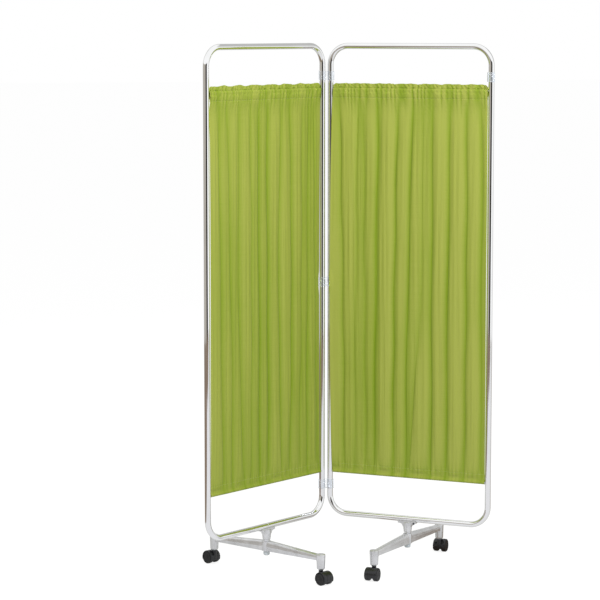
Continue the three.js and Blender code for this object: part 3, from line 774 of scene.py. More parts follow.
def saddle():
    top = FRAME_FOOT - TUBE_RADIUS + SADDLE_RISE
    ends = top - SADDLE_END
    low = ends - SADDLE_SWEEP
    half = SADDLE_LENGTH / 2
    left = bend((-half, ends), (-NECK_TOP, ends), (-NECK_TOP, low), SADDLE_STEPS)
    right = bend((NECK_TOP, low), (NECK_TOP, ends), (half, ends), SADDLE_STEPS)
    web = plate([(-half, top), *left, *right, (half, top)], SADDLE_DEPTH)
    seat = FRAME_FOOT - TUBE_RADIUS - SADDLE_FIT
    neck = revolved(
        [(0, NECK_FOOT), (NECK_BOTTOM, NECK_FOOT), (NECK_TOP, low), (NECK_TOP, seat), (0, seat)],
        NECK_FILLET,
    )
    tube = cylinder(TUBE_RADIUS + SADDLE_FIT, -half * 1.2, half * 1.2)
    groove = moved(tube, shift(0, 0, FRAME_FOOT) @ TURN_Y)
    bore = cylinder(POST_RADIUS + SADDLE_FIT, NECK_FOOT - OVERCUT, NECK_FOOT + SADDLE_BORE)
    return softened(combined(web, [neck], [groove, bore]), *SADDLE_FINISH)


def pan_screw():
    """A pan head with a cross recess, its shank along -Z from the head's seat at the origin."""
    slot = block(SCREW_SLOT, (0, 0, 0.0027))
    cross = [moved(slot, Matrix.Rotation(way * pi / 4, 4, "Z")) for way in (1, -1)]
    return combined(revolved(SCREW_HEAD, 0.0004), [], cross)


def post():
    """The pivot post: a plain pin in the saddle, a threaded stud below."""
    low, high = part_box("left_post")
    shoulder = HUB_FOOT - FIT
    profile = [(0, low.z), (STUD_RADIUS - 0.0004, low.z), (STUD_RADIUS, low.z + 0.0004)]
    height = low.z + 0.0010
    while height + THREAD_PITCH < shoulder:
        profile += [(STUD_RADIUS, height), (THREAD_ROOT, height + THREAD_FALL)]
        height += THREAD_PITCH
    profile += [(STUD_RADIUS, shoulder - 0.0002), (STUD_RADIUS, shoulder), (POST_RADIUS, shoulder)]
    profile += [(POST_RADIUS, high.z - POST_CHAMFER), (POST_RADIUS - POST_CHAMFER, high.z)]
    return revolved([*profile, (0, high.z)])


def nut(low, high):
    """A hexagon whose corners are rounded off by a chamfer, with its bore."""
    corner = NUT_REACH / cos(pi / 6)
    chamfer = revolved(
        [(0, low), (NUT_REACH, low), (corner, low + NUT_CHAMFER), (corner, high - NUT_CHAMFER),
         (NUT_REACH, high), (0, high)]
    )
    clipped = combined(cylinder(corner, low, high, 0, 6), within=[chamfer])
    return combined(clipped, cuts=[cylinder(NUT_BORE, low - OVERCUT, high + OVERCUT)])


def cap():
    """The pale cap: a cup with a rounded foot."""
    top = HUB_FOOT - FIT
    low = top - CAP_HEIGHT
    inside = CAP_RADIUS - CAP_WALL
    outline = [(0, low)]
    for k in range(9):
        turn = k / 8 * pi / 2
        radius = CAP_RADIUS - CAP_ROUND + CAP_ROUND * sin(turn)
        outline.append((radius, low + CAP_ROUND - CAP_ROUND * cos(turn)))
    outline += [(CAP_RADIUS, top - 0.0004), (CAP_RADIUS - 0.0004, top), (inside, top)]
    outline += [(inside, low + CAP_WALL + 0.002), (inside - 0.002, low + CAP_WALL)]
    return revolved([*outline, (0, low + CAP_WALL)])


def make_pivots():
    saddle_shape, screw_shape = saddle(), pan_screw()
    for side, place in PANELS.items():
        body = f"{side}_panel"
        foot = place @ shift(HALF_PANEL)
        piece(f"{side}_saddle_casting", saddle_shape, foot, body, "cast_metal", f"{side}_saddle")
        height = FRAME_FOOT - TUBE_RADIUS - FIT - SCREW_DROP
        for end, way in (("front", 1), ("back", -1)):
            face = way * FRONT[side]
            x = way * (SADDLE_LENGTH / 2 - SCREW_INSET)
            spot = shift(x, face * (SADDLE_DEPTH / 2 + FIT), height)
            aim = Matrix.Rotation(-face * pi / 2, 4, "X")
            node = f"{side}_saddle_screw_{end}"
            screw_place = foot @ spot @ aim
            finish = SCREW_MATERIAL if side == "right" else None
            piece(f"{node}_head", screw_shape, screw_place, body, "bright_steel", node, finish)
        node = f"{side}_post"
        piece(f"{node}_pin", post(), foot, body, "bright_steel", node)
        low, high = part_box(f"{node}_washer")
        ring = flat_ring(LOCK_RADIUS, NUT_BORE, low.z, high.z, LOCK_FILLET)
        piece(f"{side}_lock_washer", ring, foot, body, "bright_steel", f"{node}_washer")
        low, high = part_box(f"{node}_nut")
        piece(f"{side}_hex_nut", nut(low.z, high.z), foot, body, "bright_steel", f"{node}_nut")
        piece(f"{side}_end_cap", cap(), foot, body, "pale_nylon", f"{node}_cap")


# Legs


def arm_ring(share, inset, roof, floor):
    """The arm's section at a share of its length: upright flanks under a rounded back."""
    half = (ARM_HUB_WIDTH + (ARM_SOCKET_WIDTH - ARM_HUB_WIDTH) * share) / 2 - inset
    top = ARM_HUB_TOP + (ARM_SOCKET_TOP - ARM_HUB_TOP) * share - roof
    flank = ARM_FOOT + (top - ARM_FOOT) * FLANK_SHARE
    across = half * SHOULDER_SHARE
    ridge = half + (0 if inset else RIDGE)
    right = [(half, floor), *((ridge, flank - depth) for depth in RIDGE_SPAN)]
    for step in range(SHOULDER_STEPS + 1):
        turn = step / SHOULDER_STEPS * pi / 2
        y = half - across + across * cos(turn)
        right.append((y, flank + (top - flank) * sin(turn)))
    left = [(-y, z) for y, z in reversed(right)]
    return [Vector((ARM_LENGTH * share, y, z)) for y, z in [left[-1], *right, *left[:-1]]]


def leg_casting():
    arm = lofted([arm_ring(k / ARM_STEPS, 0, 0, ARM_FOOT) for k in range(ARM_STEPS + 1)])
    start = HUB_RADIUS + RIB
    end = ARM_LENGTH - SOCKET_TOP_RADIUS - RIB
    pitch = (end - start) / POCKETS
    pockets = []
    for k in range(POCKETS):
        ends = (start + k * pitch + RIB / 2, start + (k + 1) * pitch - RIB / 2)
        pockets.append(lofted(
            [arm_ring(x / ARM_LENGTH, ARM_WALL, ARM_ROOF, ARM_FOOT - OVERCUT) for x in ends]
        ))
    socket = revolved(
        [(0, SOCKET_FOOT), (SOCKET_FOOT_RADIUS, SOCKET_FOOT), (SOCKET_TOP_RADIUS, SOCKET_TOP),
         (0, SOCKET_TOP)],
        SOCKET_FILLET,
    )
    bore = cylinder(
        SLEEVE_RADIUS + SLEEVE_FIT, SOCKET_FOOT - OVERCUT, SOCKET_FOOT + SLEEVE_LENGTH
    )
    out = shift(ARM_LENGTH)
    around = Matrix.Rotation(pi, 4, "Z")
    above = ARM_HUB_TOP + 2 * OVERCUT
    adds = [moved(arm, around), cylinder(HUB_RADIUS, HUB_FOOT, HUB_TOP, HUB_FILLET)]
    cuts = [
        cylinder(HUB_RADIUS, HUB_TOP, above),
        cylinder(POST_RADIUS + POST_FIT, HUB_FOOT - OVERCUT, above),
    ]
    for turn in (Matrix.Identity(4), around):
        adds.append(moved(socket, turn @ out))
        cuts.append(moved(bore, turn @ out))
        cuts += [moved(pocket, turn) for pocket in pockets]
    return softened(combined(arm, adds, cuts), *CAST_FINISH)


def stem_sleeve():
    top = FLANGE_TOP + SLEEVE_LENGTH
    shell = revolved(
        [(0, FLANGE_FOOT), (FLANGE_RADIUS, FLANGE_FOOT), (FLANGE_RADIUS, FLANGE_TOP),
         (SLEEVE_RADIUS, FLANGE_TOP), (SLEEVE_RADIUS, top), (0, top)],
        0.0004,
    )
    return combined(shell, cuts=[cylinder(STEM_RADIUS + FIT, FLANGE_FOOT - OVERCUT, top + OVERCUT)])


def make_legs():
    casting, sleeve = leg_casting(), stem_sleeve()
    top = WASHER_FOOT + WASHER_HEIGHT
    ring = flat_ring(WASHER_RADIUS, POST_RADIUS + FIT, WASHER_FOOT, top, WASHER_FILLET)
    for side, place in LEGS.items():
        body = f"{side}_leg"
        piece(f"{side}_leg_casting", casting, place, body, "cast_metal", body)
        piece(f"{side}_spacer_ring", ring, place, body, "bright_steel", f"{side}_leg_washer")
        for end, way in (("front", 1), ("back", -1)):
            spot = place @ shift(way * ARM_LENGTH)
            name = f"{side}_{end}_socket_sleeve"
            piece(name, sleeve, spot, body, "pale_nylon", f"{side}_{end}_stem_sleeve")


# Casters, with the stem on Z and the wheels trailing along +X


def about_axle(shape):
    return moved(shape, shift(TRAIL, 0, WHEEL_RADIUS) @ TURN_X)


def caster_body():
    half = HOOD_WIDTH / 2
    hood = cylinder(HOOD_RADIUS, -half, half, HOOD_FILLET, HOOD_SIDES)
    boss = revolved(
        [(0, WHEEL_RADIUS), (BOSS_RADIUS + BOSS_FLARE, WHEEL_RADIUS),
         (BOSS_RADIUS, BOSS_TOP - 0.003), (BOSS_RADIUS, BOSS_TOP), (0, BOSS_TOP)],
        BOSS_FILLET,
    )
    cuts = []
    for way in (1, -1):
        ends = sorted((way * (WHEEL_GAP / 2 - WELL_FIT), way * (half + OVERCUT)))
        cuts.append(about_axle(cylinder(HOOD_RADIUS - HOOD_WALL, *ends, 0, HOOD_SIDES)))
    cuts.append(block((0.06, 0.05, 2 * HOOD_LIP), (TRAIL, 0, 0)))
    cuts.append(cylinder(STEM_RADIUS + FIT, BOSS_TOP - STEM_BORE, BOSS_TOP + OVERCUT, 0, ROUND))
    cuts.append(about_axle(cylinder(AXLE_RADIUS + FIT, -half, half, 0, ROUND)))
    for way in (1, -1):
        at = way * (WHEEL_GAP / 2 + GROOVE_INSET)
        sizes = (HOOD_RADIUS + OVERCUT, HOOD_RADIUS - GROOVE, at - GROOVE, at + GROOVE)
        cuts.append(about_axle(flat_ring(*sizes, 0.0001, HOOD_SIDES)))
    return combined(about_axle(hood), [boss], cuts)


def wheel(way):
    """Tread with rounded shoulders and a mould line, an outer face with a ring, boss and pins."""
    inner = WHEEL_GAP / 2
    outer = inner + WHEEL_WIDTH
    middle = (inner + outer) / 2
    bore, depth = AXLE_RADIUS + FIT, inner + AXLE_REACH + FIT
    outline = [
        (0, depth), (bore, depth), (bore, inner), (0.0186, inner), (WHEEL_RADIUS, inner + 0.0022),
        (WHEEL_RADIUS, middle - 0.0003), (WHEEL_RADIUS - 0.0001, middle),
        (WHEEL_RADIUS, middle + 0.0003), (WHEEL_RADIUS, outer - 0.0030),
        *((radius, outer + height) for radius, height in WHEEL_FACE),
    ]
    shape = revolved([(r, way * along) for r, along in outline], 0.0004, WHEEL_SIDES)
    ends = sorted((way * (outer - MARK_RADIUS), way * (outer + OVERCUT)))
    mark = cylinder(MARK_RADIUS, *ends, 0, 20)
    spots = [shift(*polar(MARK_CIRCLE, turn)) for turn in turns(3)]
    return about_axle(combined(shape, cuts=[moved(mark, spot) for spot in spots]))


def stem():
    low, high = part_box("left_front_caster_stem")
    groove = high.z - 0.006
    neck = STEM_RADIUS - STEM_NECK
    outline = [
        (0, low.z), (STEM_RADIUS, low.z), (STEM_RADIUS, groove - 0.002), (neck, groove - 0.0016),
        (neck, groove), (STEM_RADIUS, groove + 0.0004), (STEM_RADIUS, high.z - 0.001),
        (STEM_RADIUS - 0.001, high.z), (0, high.z),
    ]
    return revolved(outline, 0.0002, ROUND)


def make_casters():
    hood, pin = caster_body(), stem()
    reach = WHEEL_GAP / 2 + AXLE_REACH
    axle = about_axle(cylinder(AXLE_RADIUS, -reach, reach, 0.0004, ROUND))
    wheels = {"a": wheel(1), "b": wheel(-1)}
    for name, place in CASTERS.items():
        body = f"{name}_caster"
        piece(f"{name}_hood", hood, place, body, "black_nylon", f"{body}_body")
        piece(f"{name}_stem", pin, place, body, "bright_steel", f"{body}_stem")
        piece(f"{name}_axle", axle, place, body, "bright_steel", f"{body}_axle")
        for letter, shape in wheels.items():
            node = f"{name}_wheel_{letter}"
            piece(f"{node}_roller", shape, place, node, "black_tread", node)


# Curtains

CLOTH_THICKNESS = 0.0007
CLOTH_TOP = 1.5692  # the frill's edge
TOP_SEAM = 1.5557  # just above the upper rod
TOP_STITCH = 1.5245
HEM_STITCH = 0.322
CLOTH_SIDE_GAP = 0.0012
COLUMNS = 340
BODY_ROWS = 190
LAYER = 0.00055  # half the gap between two layers that lie together
ROD_WRAP = ROD_RADIUS + 0.0009  # from a rod's axis to the cloth round it
ROD_HUG = 0.0085  # how far from the upper rod's axis the cloth still holds to it
SHALLOW = 0.35  # how strongly the cloth folds near a seam
HEAD_FADE = 0.045  # how far below its stitches the head's gathers die away
HEM_FADE = 0.022
# Each crease: its share of the cloth's width from the hinge, at the top, middle and foot, and
# how deep it goes
CREASES = {
    "left": [
        (0.057, 0.043, 0.028, 0.6), (0.110, 0.115, 0.124, 0.9), (0.174, 0.176, 0.200, 0.6),
        (0.286, 0.264, 0.282, 0.9), (0.363, 0.385, 0.355, 0.9), (0.489, 0.480, 0.476, 1.0),
        (0.570, 0.556, 0.557, 1.0), (0.647, 0.633, 0.638, 0.7), (0.735, 0.741, 0.700, 0.7),
        (0.845, 0.813, 0.800, 0.8), (0.913, 0.900, 0.880, 0.8),
    ],
    "right": [
        (0.040, 0.060, 0.070, 0.7), (0.155, 0.145, 0.145, 0.4), (0.200, 0.205, 0.215, 0.6),
        (0.292, 0.277, 0.271, 1.0), (0.420, 0.402, 0.398, 1.0), (0.520, 0.492, 0.482, 1.0),
        (0.580, 0.575, 0.510, 0.4), (0.650, 0.647, 0.650, 1.0), (0.762, 0.750, 0.748, 1.0),
        (0.863, 0.868, 0.862, 0.9), (0.960, 0.966, 0.973, 0.9),
    ],
}
SEEDS = {"left": 11, "right": 29}
FOLD_SHARE = 0.19  # a fold's depth for each metre of its width
FOLD_WIDEST = 0.062  # a wider fold gets no deeper
FOLD_MEAN = 0.0055
HEAD_GATHERS = 26
HEM_GATHERS = 38
HEAD_DEPTH = 0.0044
HEM_DEPTH = 0.0030
FRILL_WAVE = 0.0052
# Waves in the cloth: how many make up the sum, their shortest and longest lengths, and the
# height over which they drift
WAVES = {
    "soft": (10, 0.014, 0.034, 1.1),
    "fine": (9, 0.007, 0.014, 0.6),
    "crumple": (9, 0.009, 0.026, 0.035),
    "head_reach": (5, 0.03, 0.15, 1.0),
    "frill": (8, 0.018, 0.050, 0.05),
    "scallop": (6, 0.030, 0.090, 1.0),
    "pleat_place": (6, 0.05, 0.2, 1.0),
    "pleat_size": (5, 0.03, 0.12, 1.0),
}
# Where stitches pinch the cloth: their height, how deep, and how far up and down
PINCHES = [(TOP_SEAM, 0.0013, 0.0016), (TOP_STITCH, 0.0012, 0.0013), (HEM_STITCH, 0.0006, 0.0016)]
BELLY = 0.0015  # how far the cloth's middle height comes forward
BROW = 0.0032  # how far it comes forward at the head's stitches
TUBE_CLEARANCE = 0.0011
MIDDLE_CLIP = 0.9232  # height of the middle connector
CLIP_CLEARANCE = 0.0041  # added there, for its jaws
CLIP_SHIFT = 0.0029  # and how far the left cloth's edge draws back from them
TUCK = (0.030, 0.0012, 0.0030)  # the left cloth's hinge edge: width, shift and depth
RIDE = (0.040, 0.0090, 0.004)  # the right one's: share of the width, shift and height
CORNER_DROP = 0.0065
PAINTED_FOLD_LIGHT = {"left": 0.79, "right": 1.0}  # how much painted highlight the crests get; the left cloth gets less, a painted shade


def smooth_step(low, high, value):
    t = np.clip((value - low) / (high - low), 0, 1)
    return t * t * (3 - 2 * t)


def bell(value, middle, width, power=2):
    """1 at the middle, dying away past the width: the higher the power, the squarer."""
    return np.exp(-(((value - middle) / width) ** power))


def waves(rng, x, z, kind):
    """A sum of soft waves across x, each drifting slowly with height z, with unit strength."""
    count, short, long, tall = WAVES[kind]
    total = np.zeros(np.broadcast(x, z).shape)
    for _ in range(count):
        length = short * (long / short) ** rng.random()
        lean = rng.normal() / tall
        phase, turn = 2 * pi * rng.random(2)
        swell = 0.5 + 0.5 * np.sin(2 * pi * z / (tall * (0.7 + rng.random())) + turn)
        total += swell * np.sin(2 * pi * (x / length + lean * z) + phase)
    return total / sqrt(count)


def pleats(rng, across, x, count):
    """Round puckers between sharp pinches, at uneven spacing: 0 in a pinch, 1 on a crest."""
    phase = pi * (count * across + 0.8 * waves(rng, x, x * 0, "pleat_place"))
    size = np.clip(0.75 + 0.35 * waves(rng, x, x * 0, "pleat_size"), 0.25, 1.3)
    return size * np.abs(np.sin(phase)) ** 0.8


def cloth_rows():
    """The cloth's section from its back top edge, over the top, down the front and round the hem.

    Each row has its height, its side of the panel's middle plane, how far its layer stands off
    that plane, and how strongly it folds, gathers at the head, gathers at the hem and hugs a rod.
    """
    rows = []

    def pocket(z, rod_z, slack):
        """Half the gap between the two layers at a height, round a rod."""
        away = abs(z - rod_z)
        if away < ROD_WRAP:
            return max(sqrt(ROD_WRAP**2 - away**2), LAYER)
        return LAYER + slack * bell(away, ROD_WRAP, 0.004)

    def head(z):
        """Half the head's thickness at a height, and how it folds and hugs the rod there."""
        if z < TOP_STITCH:
            return LAYER, SHALLOW, 0
        if z >= TOP_SEAM:
            return 0.0008 + 0.0009 * (z - TOP_SEAM) / (CLOTH_TOP - TOP_SEAM), 0.1, 0
        hug = bell(z, UPPER_ROD, ROD_HUG, 4)
        half = pocket(z, UPPER_ROD, 0.0030)
        if z < UPPER_ROD:
            # Below the rod the pocket's two layers hang close to straight, down to the stitches
            hang = float(smooth_step(TOP_STITCH, UPPER_ROD, z)) ** 0.7
            half = max(pocket(z, UPPER_ROD, 0), LAYER + (ROD_WRAP - LAYER) * hang)
        return half, SHALLOW * (1 - hug), hug

    def head_rows(heights, side):
        for z in heights:
            half, fold, hug = head(z)
            rows.append((z, side, half, fold, 1.0, 0, hug))

    def hem_rows(heights, side):
        for z in heights:
            hug = float(smooth_step(HEM_STITCH - 0.004, LOWER_ROD + 0.006, z))
            half = pocket(z, LOWER_ROD, 0.0012)
            rows.append((z, side, half, 0.4 * (1 - hug), 0, 1 - 0.35 * hug, hug))

    foot = [TOP_STITCH - 0.003 + k * 0.0015 for k in range(2)]
    casing = [TOP_STITCH + k * (TOP_SEAM - TOP_STITCH) / 20 for k in range(20)]
    frill = [TOP_SEAM + k * (CLOTH_TOP - TOP_SEAM) / 12 for k in range(12)]
    head_rows(foot + casing + frill, -1)
    for k in range(7):
        turn = pi * k / 6
        rows.append((CLOTH_TOP + 0.0012 * sin(turn), -cos(turn), 0.0017, 0.1, 1.0, 0, 0))
    head_rows(reversed(foot[1:] + casing + frill), 1)
    body_top, body_foot = TOP_STITCH - 0.002, HEM_STITCH + 0.003
    for k in range(1, BODY_ROWS):
        # Rows lie closer together near the two ends
        share = k / BODY_ROWS
        share = share - 0.11 * sin(2 * pi * share)
        z = body_top + (body_foot - body_top) * share
        below, above = TOP_STITCH - z, z - HEM_STITCH
        fold = float(smooth_step(-0.02, 0.15, below) * (1 - 0.35 * smooth_step(0.16, 0.0, above)))
        gathers = exp(-below / HEAD_FADE), 0.9 * exp(-above / HEM_FADE)
        rows.append((z, 0, 0, max(fold, SHALLOW), *gathers, 0))
    hem = [HEM_STITCH - k * (HEM_STITCH - LOWER_ROD) / 15 for k in range(16)]
    hem_rows(hem, 1)
    for k in range(1, 9):
        turn = pi * k / 9
        rows.append(
            (LOWER_ROD - ROD_WRAP * sin(turn), cos(turn), ROD_WRAP, 0, 0, 0.5, 1)
        )
    hem_rows(reversed(hem), -1)
    return rows


def fold_field(side, across, heights, width, rng):
    """How far the cloth stands forward of its creases, with a round fold between each two."""
    down = np.clip((TOP_STITCH - heights) / (TOP_STITCH - HEM_STITCH), 0, 1)
    top, middle, foot, depth = (np.array(column) for column in zip(*CREASES[side]))
    places = (
        top[:, None] * (1 - down) * (1 - 2 * down)
        + middle[:, None] * 4 * down * (1 - down)
        + foot[:, None] * down * (2 * down - 1)
    )
    for place in places:
        drift = heights / (0.35 + 0.3 * rng.random()) + rng.random()
        place += 0.003 * np.sin(2 * pi * drift)
    lean = np.concatenate([[1.0], 0.75 + 0.6 * rng.random(len(top) - 1), [1.0, 1.0]])
    depth = np.concatenate([[0.8], depth, [0.8]])
    field = np.zeros((len(heights), len(across)))
    for row in range(len(heights)):
        creases = np.concatenate([[-0.03], places[:, row], [1.03]])
        index = np.clip(np.searchsorted(creases, across) - 1, 0, len(creases) - 2)
        low, high = creases[index], creases[index + 1]
        share = (across - low) / (high - low)
        tall = FOLD_SHARE * np.minimum((high - low) * width, FOLD_WIDEST)
        arch = 1 - np.abs(2 * share ** lean[index] - 1) ** 2.5
        base = tall * ((1 - depth[index]) * (1 - share) + (1 - depth[index + 1]) * share)
        field[row] = base + arch * (tall - base)
    kernel = np.exp(-(np.arange(-3, 4) ** 2) / 2.2)
    kernel /= kernel.sum()
    padded_field = np.pad(field, ((0, 0), (3, 3)), mode="edge")
    return np.stack([np.convolve(row, kernel, "valid") for row in padded_field])


def run_along(line):
    """The length along a line of points, up to each of them."""
    return np.concatenate([[0], np.cumsum(np.linalg.norm(np.diff(line, axis=0), axis=1))])


def curtain_points(side):
    """The cloth's points in the panel's own frame, rows by columns, and the painted light and shade
    of its folds.
    """
    rng = np.random.default_rng(SEEDS[side])
    columns = zip(*cloth_rows())
    z, face, half, fold, head, hem, hug = (np.array(c, float)[:, None] for c in columns)
    across = np.linspace(0, 1, COLUMNS + 1)
    width = PANEL_WIDTH - 2 * (TUBE_RADIUS + CLOTH_SIDE_GAP)
    x = across[None, :] * width
    front = FRONT[side]

    crest = fold_field(side, across, z[:, 0], width, rng)
    soft = waves(rng, x, z, "soft")
    fine = waves(rng, x, z, "fine")
    folds = (crest - FOLD_MEAN) + 0.0011 * soft + 0.00028 * fine
    head_pleats = pleats(rng, across[None, :], x, HEAD_GATHERS)
    hem_pleats = pleats(rng, across[None, :], x, HEM_GATHERS)
    crumple = waves(rng, x, z, "crumple")
    reach_down = 0.6 + 0.6 * waves(rng, x, z * 0, "head_reach")
    head = head ** (1 / np.clip(reach_down, 0.35, 2.2))
    in_frill = smooth_step(TOP_SEAM, TOP_SEAM + 0.006, z)
    frill_wave = 0.5 * waves(rng, x, z, "frill") + 0.35 * crumple
    head_folds = HEAD_DEPTH * (head_pleats - 0.5) * (1 - 0.5 * in_frill) + 0.0006 * crumple
    head_folds = head_folds + FRILL_WAVE * frill_wave * in_frill
    hem_folds = HEM_DEPTH * (hem_pleats - 0.5) + 0.0005 * crumple
    pinched = sum(depth * bell(z, height, reach) for height, depth, reach in PINCHES)
    plain = fold * folds + head * head_folds + hem * hem_folds - pinched
    swell = 0.0002 + head * np.clip(0.0026 * head_pleats + 0.0011 * crumple, 0, None)
    swell = swell + 0.0012 * hem * hem_pleats
    off = (1 - hug) * plain * front + face * front * (half + hug * swell)

    # The cloth bellies forward a little. At the hinge the left one lies back, and gives way to
    # the middle connector's jaw, and the right one rides over the tube.
    belly = np.sin(pi * np.clip((z - LOWER_ROD) / (UPPER_ROD - LOWER_ROD), 0, 1)) ** 0.6
    off = off + front * BELLY * belly * (1 - hug)
    off = off + front * BROW * bell(z, TOP_STITCH, 0.022) * (1 - hug)
    slip = -0.35 * fold * np.gradient(crest, axis=1) * COLUMNS / width * 0.004
    u = TUBE_RADIUS + CLOTH_SIDE_GAP + x + slip * (1 - hug) * np.sin(pi * across) ** 0.3
    at_clip = bell(z, MIDDLE_CLIP, 0.030, 4)
    if side == "left":
        reach, drawn, depth = TUCK
        tuck = smooth_step(reach, 0.0, x) * belly
        u = u + drawn * tuck + CLIP_SHIFT * at_clip * smooth_step(0.034, 0.0, x)
        off = off * (1 - tuck) - front * depth * tuck
    else:
        reach, drawn, height = RIDE
        over = smooth_step(reach, 0.0, across)[None, :] * belly
        u = u - over * drawn
        off = off + front * over * height
    clear = TUBE_RADIUS + TUBE_CLEARANCE
    for axis, keep in ((0.0, clear + CLIP_CLEARANCE * at_clip), (PANEL_WIDTH, clear)):
        away = np.abs(u - axis)
        least = np.sqrt(np.clip(keep**2 - away**2, 0, None))
        lifted = front * np.maximum(front * off, least)
        off = np.where((least > 0) & (face >= 0), lifted, off)

    rise = smooth_step(TOP_SEAM, CLOTH_TOP, z)
    edge = np.minimum(x, width - x)
    scallop = 0.0017 * waves(rng, x, z * 0, "scallop") + 0.0014 * (head_pleats - 0.6)
    corner = CORNER_DROP * (1 - smooth_step(0.0, 0.012, edge)) ** 2
    heights = z + rise * (scallop - corner) + 0.0007 * crumple * (head > 0.9) * (1 - rise)
    points = np.stack([u, off, np.broadcast_to(heights, off.shape)], axis=-1)

    # Painted light and shade: the fold crests are painted bright and the creases dark, brighter
    # higher up as if lit from above, and the gathers' puckers are painted bright at the head and
    # hem
    gathers = np.clip(1.6 * head_pleats - 0.2 + 0.2 * in_frill, 0, 1.15)
    painted_fold_light = (1 - 0.8 * head) * (1 - 0.6 * hem) * np.clip(crest / 0.0085, 0, 1.15)
    painted_fold_light = (painted_fold_light + 0.8 * head * gathers) * PAINTED_FOLD_LIGHT[side] + 0.6 * hem * hem_pleats
    return points, painted_fold_light + 0.16 * (z - 0.93) / (UPPER_ROD - LOWER_ROD)


def curtain(side):
    """The cloth as a thin closed sheet, with a map of its flat cut, and its points."""
    points, painted_fold_light = curtain_points(side)
    flat_u, flat_v = run_along(points[len(points) // 2]), run_along(points[:, COLUMNS // 2])
    place = PANELS[side]
    high, wide = points.shape[:2]
    vertices = [place @ Vector(p) for p in points.reshape(-1, 3)]
    faces = [
        (a, a + 1, a + wide + 1, a + wide)
        for row in range(high - 1) for a in range(row * wide, (row + 1) * wide - 1)
    ]
    name = f"{side}_gathered_cloth"
    mesh = mesh_of((vertices, faces), name)
    layer = mesh.uv_layers.new(name="flat_cut")
    loops = np.array([k for face in faces for k in face])
    uv = np.stack([flat_u[loops % wide], flat_v[loops // wide]], axis=1).astype(np.float32)
    layer.data.foreach_set("uv", uv.ravel())
    # The painted light and shade of the folds goes to the material as the crest attribute
    crest = mesh.attributes.new("crest", "FLOAT", "POINT")
    crest.data.foreach_set("value", painted_fold_light.astype(np.float32).ravel())
    obj = worn(name, mesh, MATERIALS["green_cloth"], f"{side}_panel")
    thick = obj.modifiers.new("thickness", "SOLIDIFY")
    thick.thickness = CLOTH_THICKNESS
    thick.offset = 0
    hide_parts(f"{side}_curtain")
    return obj, points


STITCH_LENGTH = 0.0026
STITCH_PITCH = 0.0036
STITCH_RADIUS = 0.00026
STITCH_SIDES = 6


def thread_shape(first, middle, last):
    """One stitch: a short thread through three points, tapered to its ends."""
    along = (last - first).normalized()
    side = along.cross(UP).normalized()
    other = along.cross(side)
    shares = [
        (first, 0.45), (first.lerp(middle, 0.4), 1), (middle, 1.05), (last.lerp(middle, 0.4), 1),
        (last, 0.45),
    ]
    return lofted([
        [
            place + (side * cos(turn) + other * sin(turn)) * STITCH_RADIUS * share
            for turn in turns(STITCH_SIDES)
        ]
        for place, share in shares
    ])


def stitch_line(side, points, height, label):
    """Short threads that follow the front of the cloth along one row."""
    # The first eighth of the rows is the head's back
    heights = points[:, :, 2].mean(axis=1)
    front_rows = range(len(points) // 8 + 1, len(points))
    line = points[min(front_rows, key=lambda k: abs(heights[k] - height))].copy()
    line[:, 1] += FRONT[side] * (CLOTH_THICKNESS / 2 + STITCH_RADIUS * 0.6)
    run = run_along(line)
    place = PANELS[side]
    threads = []
    at = STITCH_PITCH
    while at + STITCH_LENGTH < run[-1]:
        spots = [at + step for step in (0, STITCH_LENGTH / 2, STITCH_LENGTH)]
        ends = [Vector([np.interp(s, run, line[:, k]) for k in range(3)]) for s in spots]
        thread, faces = thread_shape(*ends)
        threads.append(([place @ p for p in thread], faces))
        at += STITCH_PITCH
    name = f"{side}_{label}_stitching"
    mesh = mesh_of(joined(threads), name)
    return worn(name, mesh, THREAD_MATERIAL, f"{side}_panel")


def make_curtains():
    for side in PANELS:
        cloth, points = curtain(side)
        lines = [
            stitch_line(side, points, TOP_SEAM, "seam"),
            stitch_line(side, points, TOP_STITCH, "casing"),
            stitch_line(side, points, HEM_STITCH, "hem"),
        ]


# Stage

FLOOR_SIZE = 60
FLOOR_GLOW = 0.86
FLOOR_SHADE = (0.30, 0.30, 0.30, 1)
FLOOR_BOUNCE = (0.62, 0.62, 0.62, 1)
WORLD_LIGHT = 0.43
# Each lamp: its place, the point it aims at, its width and height, and its power in watts
LAMPS = {
    "key": ((-0.15, -3.1, 3.6), (0, 0, 1.6), (1.6, 1.6), 97),
    "side": ((3.4, 0.2, 2.4), (0, 0, 1.2), (1.6, 2.0), 18),
    "rear": ((-2.2, 3.4, 3.0), (0, 0, 1.0), (2.0, 2.0), 40),
}


def bare_material(name):
    """A material with nothing but its output, its node tree and that output's socket."""
    material = bpy.data.materials.new(name)
    g = Graph(material)
    g.tree.nodes.remove(g.tree.nodes["Principled BSDF"])
    return material, g, g.tree.nodes["Material Output"].inputs["Surface"]


def stage_object(name, shape, material):
    mesh = mesh_of(shape, name)
    mesh.materials.append(material)
    obj = linked(name, mesh)
    return obj


def make_floor():
    """Near white to the camera and in mirrors, shaded a little by the object, else plain grey."""
    material, g, output = bare_material("floor")
    glow = g.node("Emission", {"Strength": FLOOR_GLOW}).outputs[0]
    shade = g.node("BsdfDiffuse", {"Color": FLOOR_SHADE}).outputs[0]
    bounce = g.node("BsdfDiffuse", {"Color": FLOOR_BOUNCE}).outputs[0]
    seen = g.node("AddShader", {0: glow, 1: shade}).outputs[0]
    mix = g.node("MixShader", {0: g.seen_directly(), 1: bounce, 2: seen}).outputs[0]
    g.feed(output, mix)
    corners = [(x * FLOOR_SIZE, y * FLOOR_SIZE, 0) for x, y in ((-1, -1), (1, -1), (1, 1), (-1, 1))]
    stage_object("floor", (corners, [(0, 1, 2, 3)]), material)


def make_world():
    scene.world = bpy.data.worlds.new("studio")
    g = Graph(scene.world)
    background = g.tree.nodes["Background"].inputs
    g.feed(background["Color"], (1, 1, 1, 1))
    g.feed(background["Strength"], g.ranged(g.seen_directly(), WORLD_LIGHT, 1.0, 0, 1))


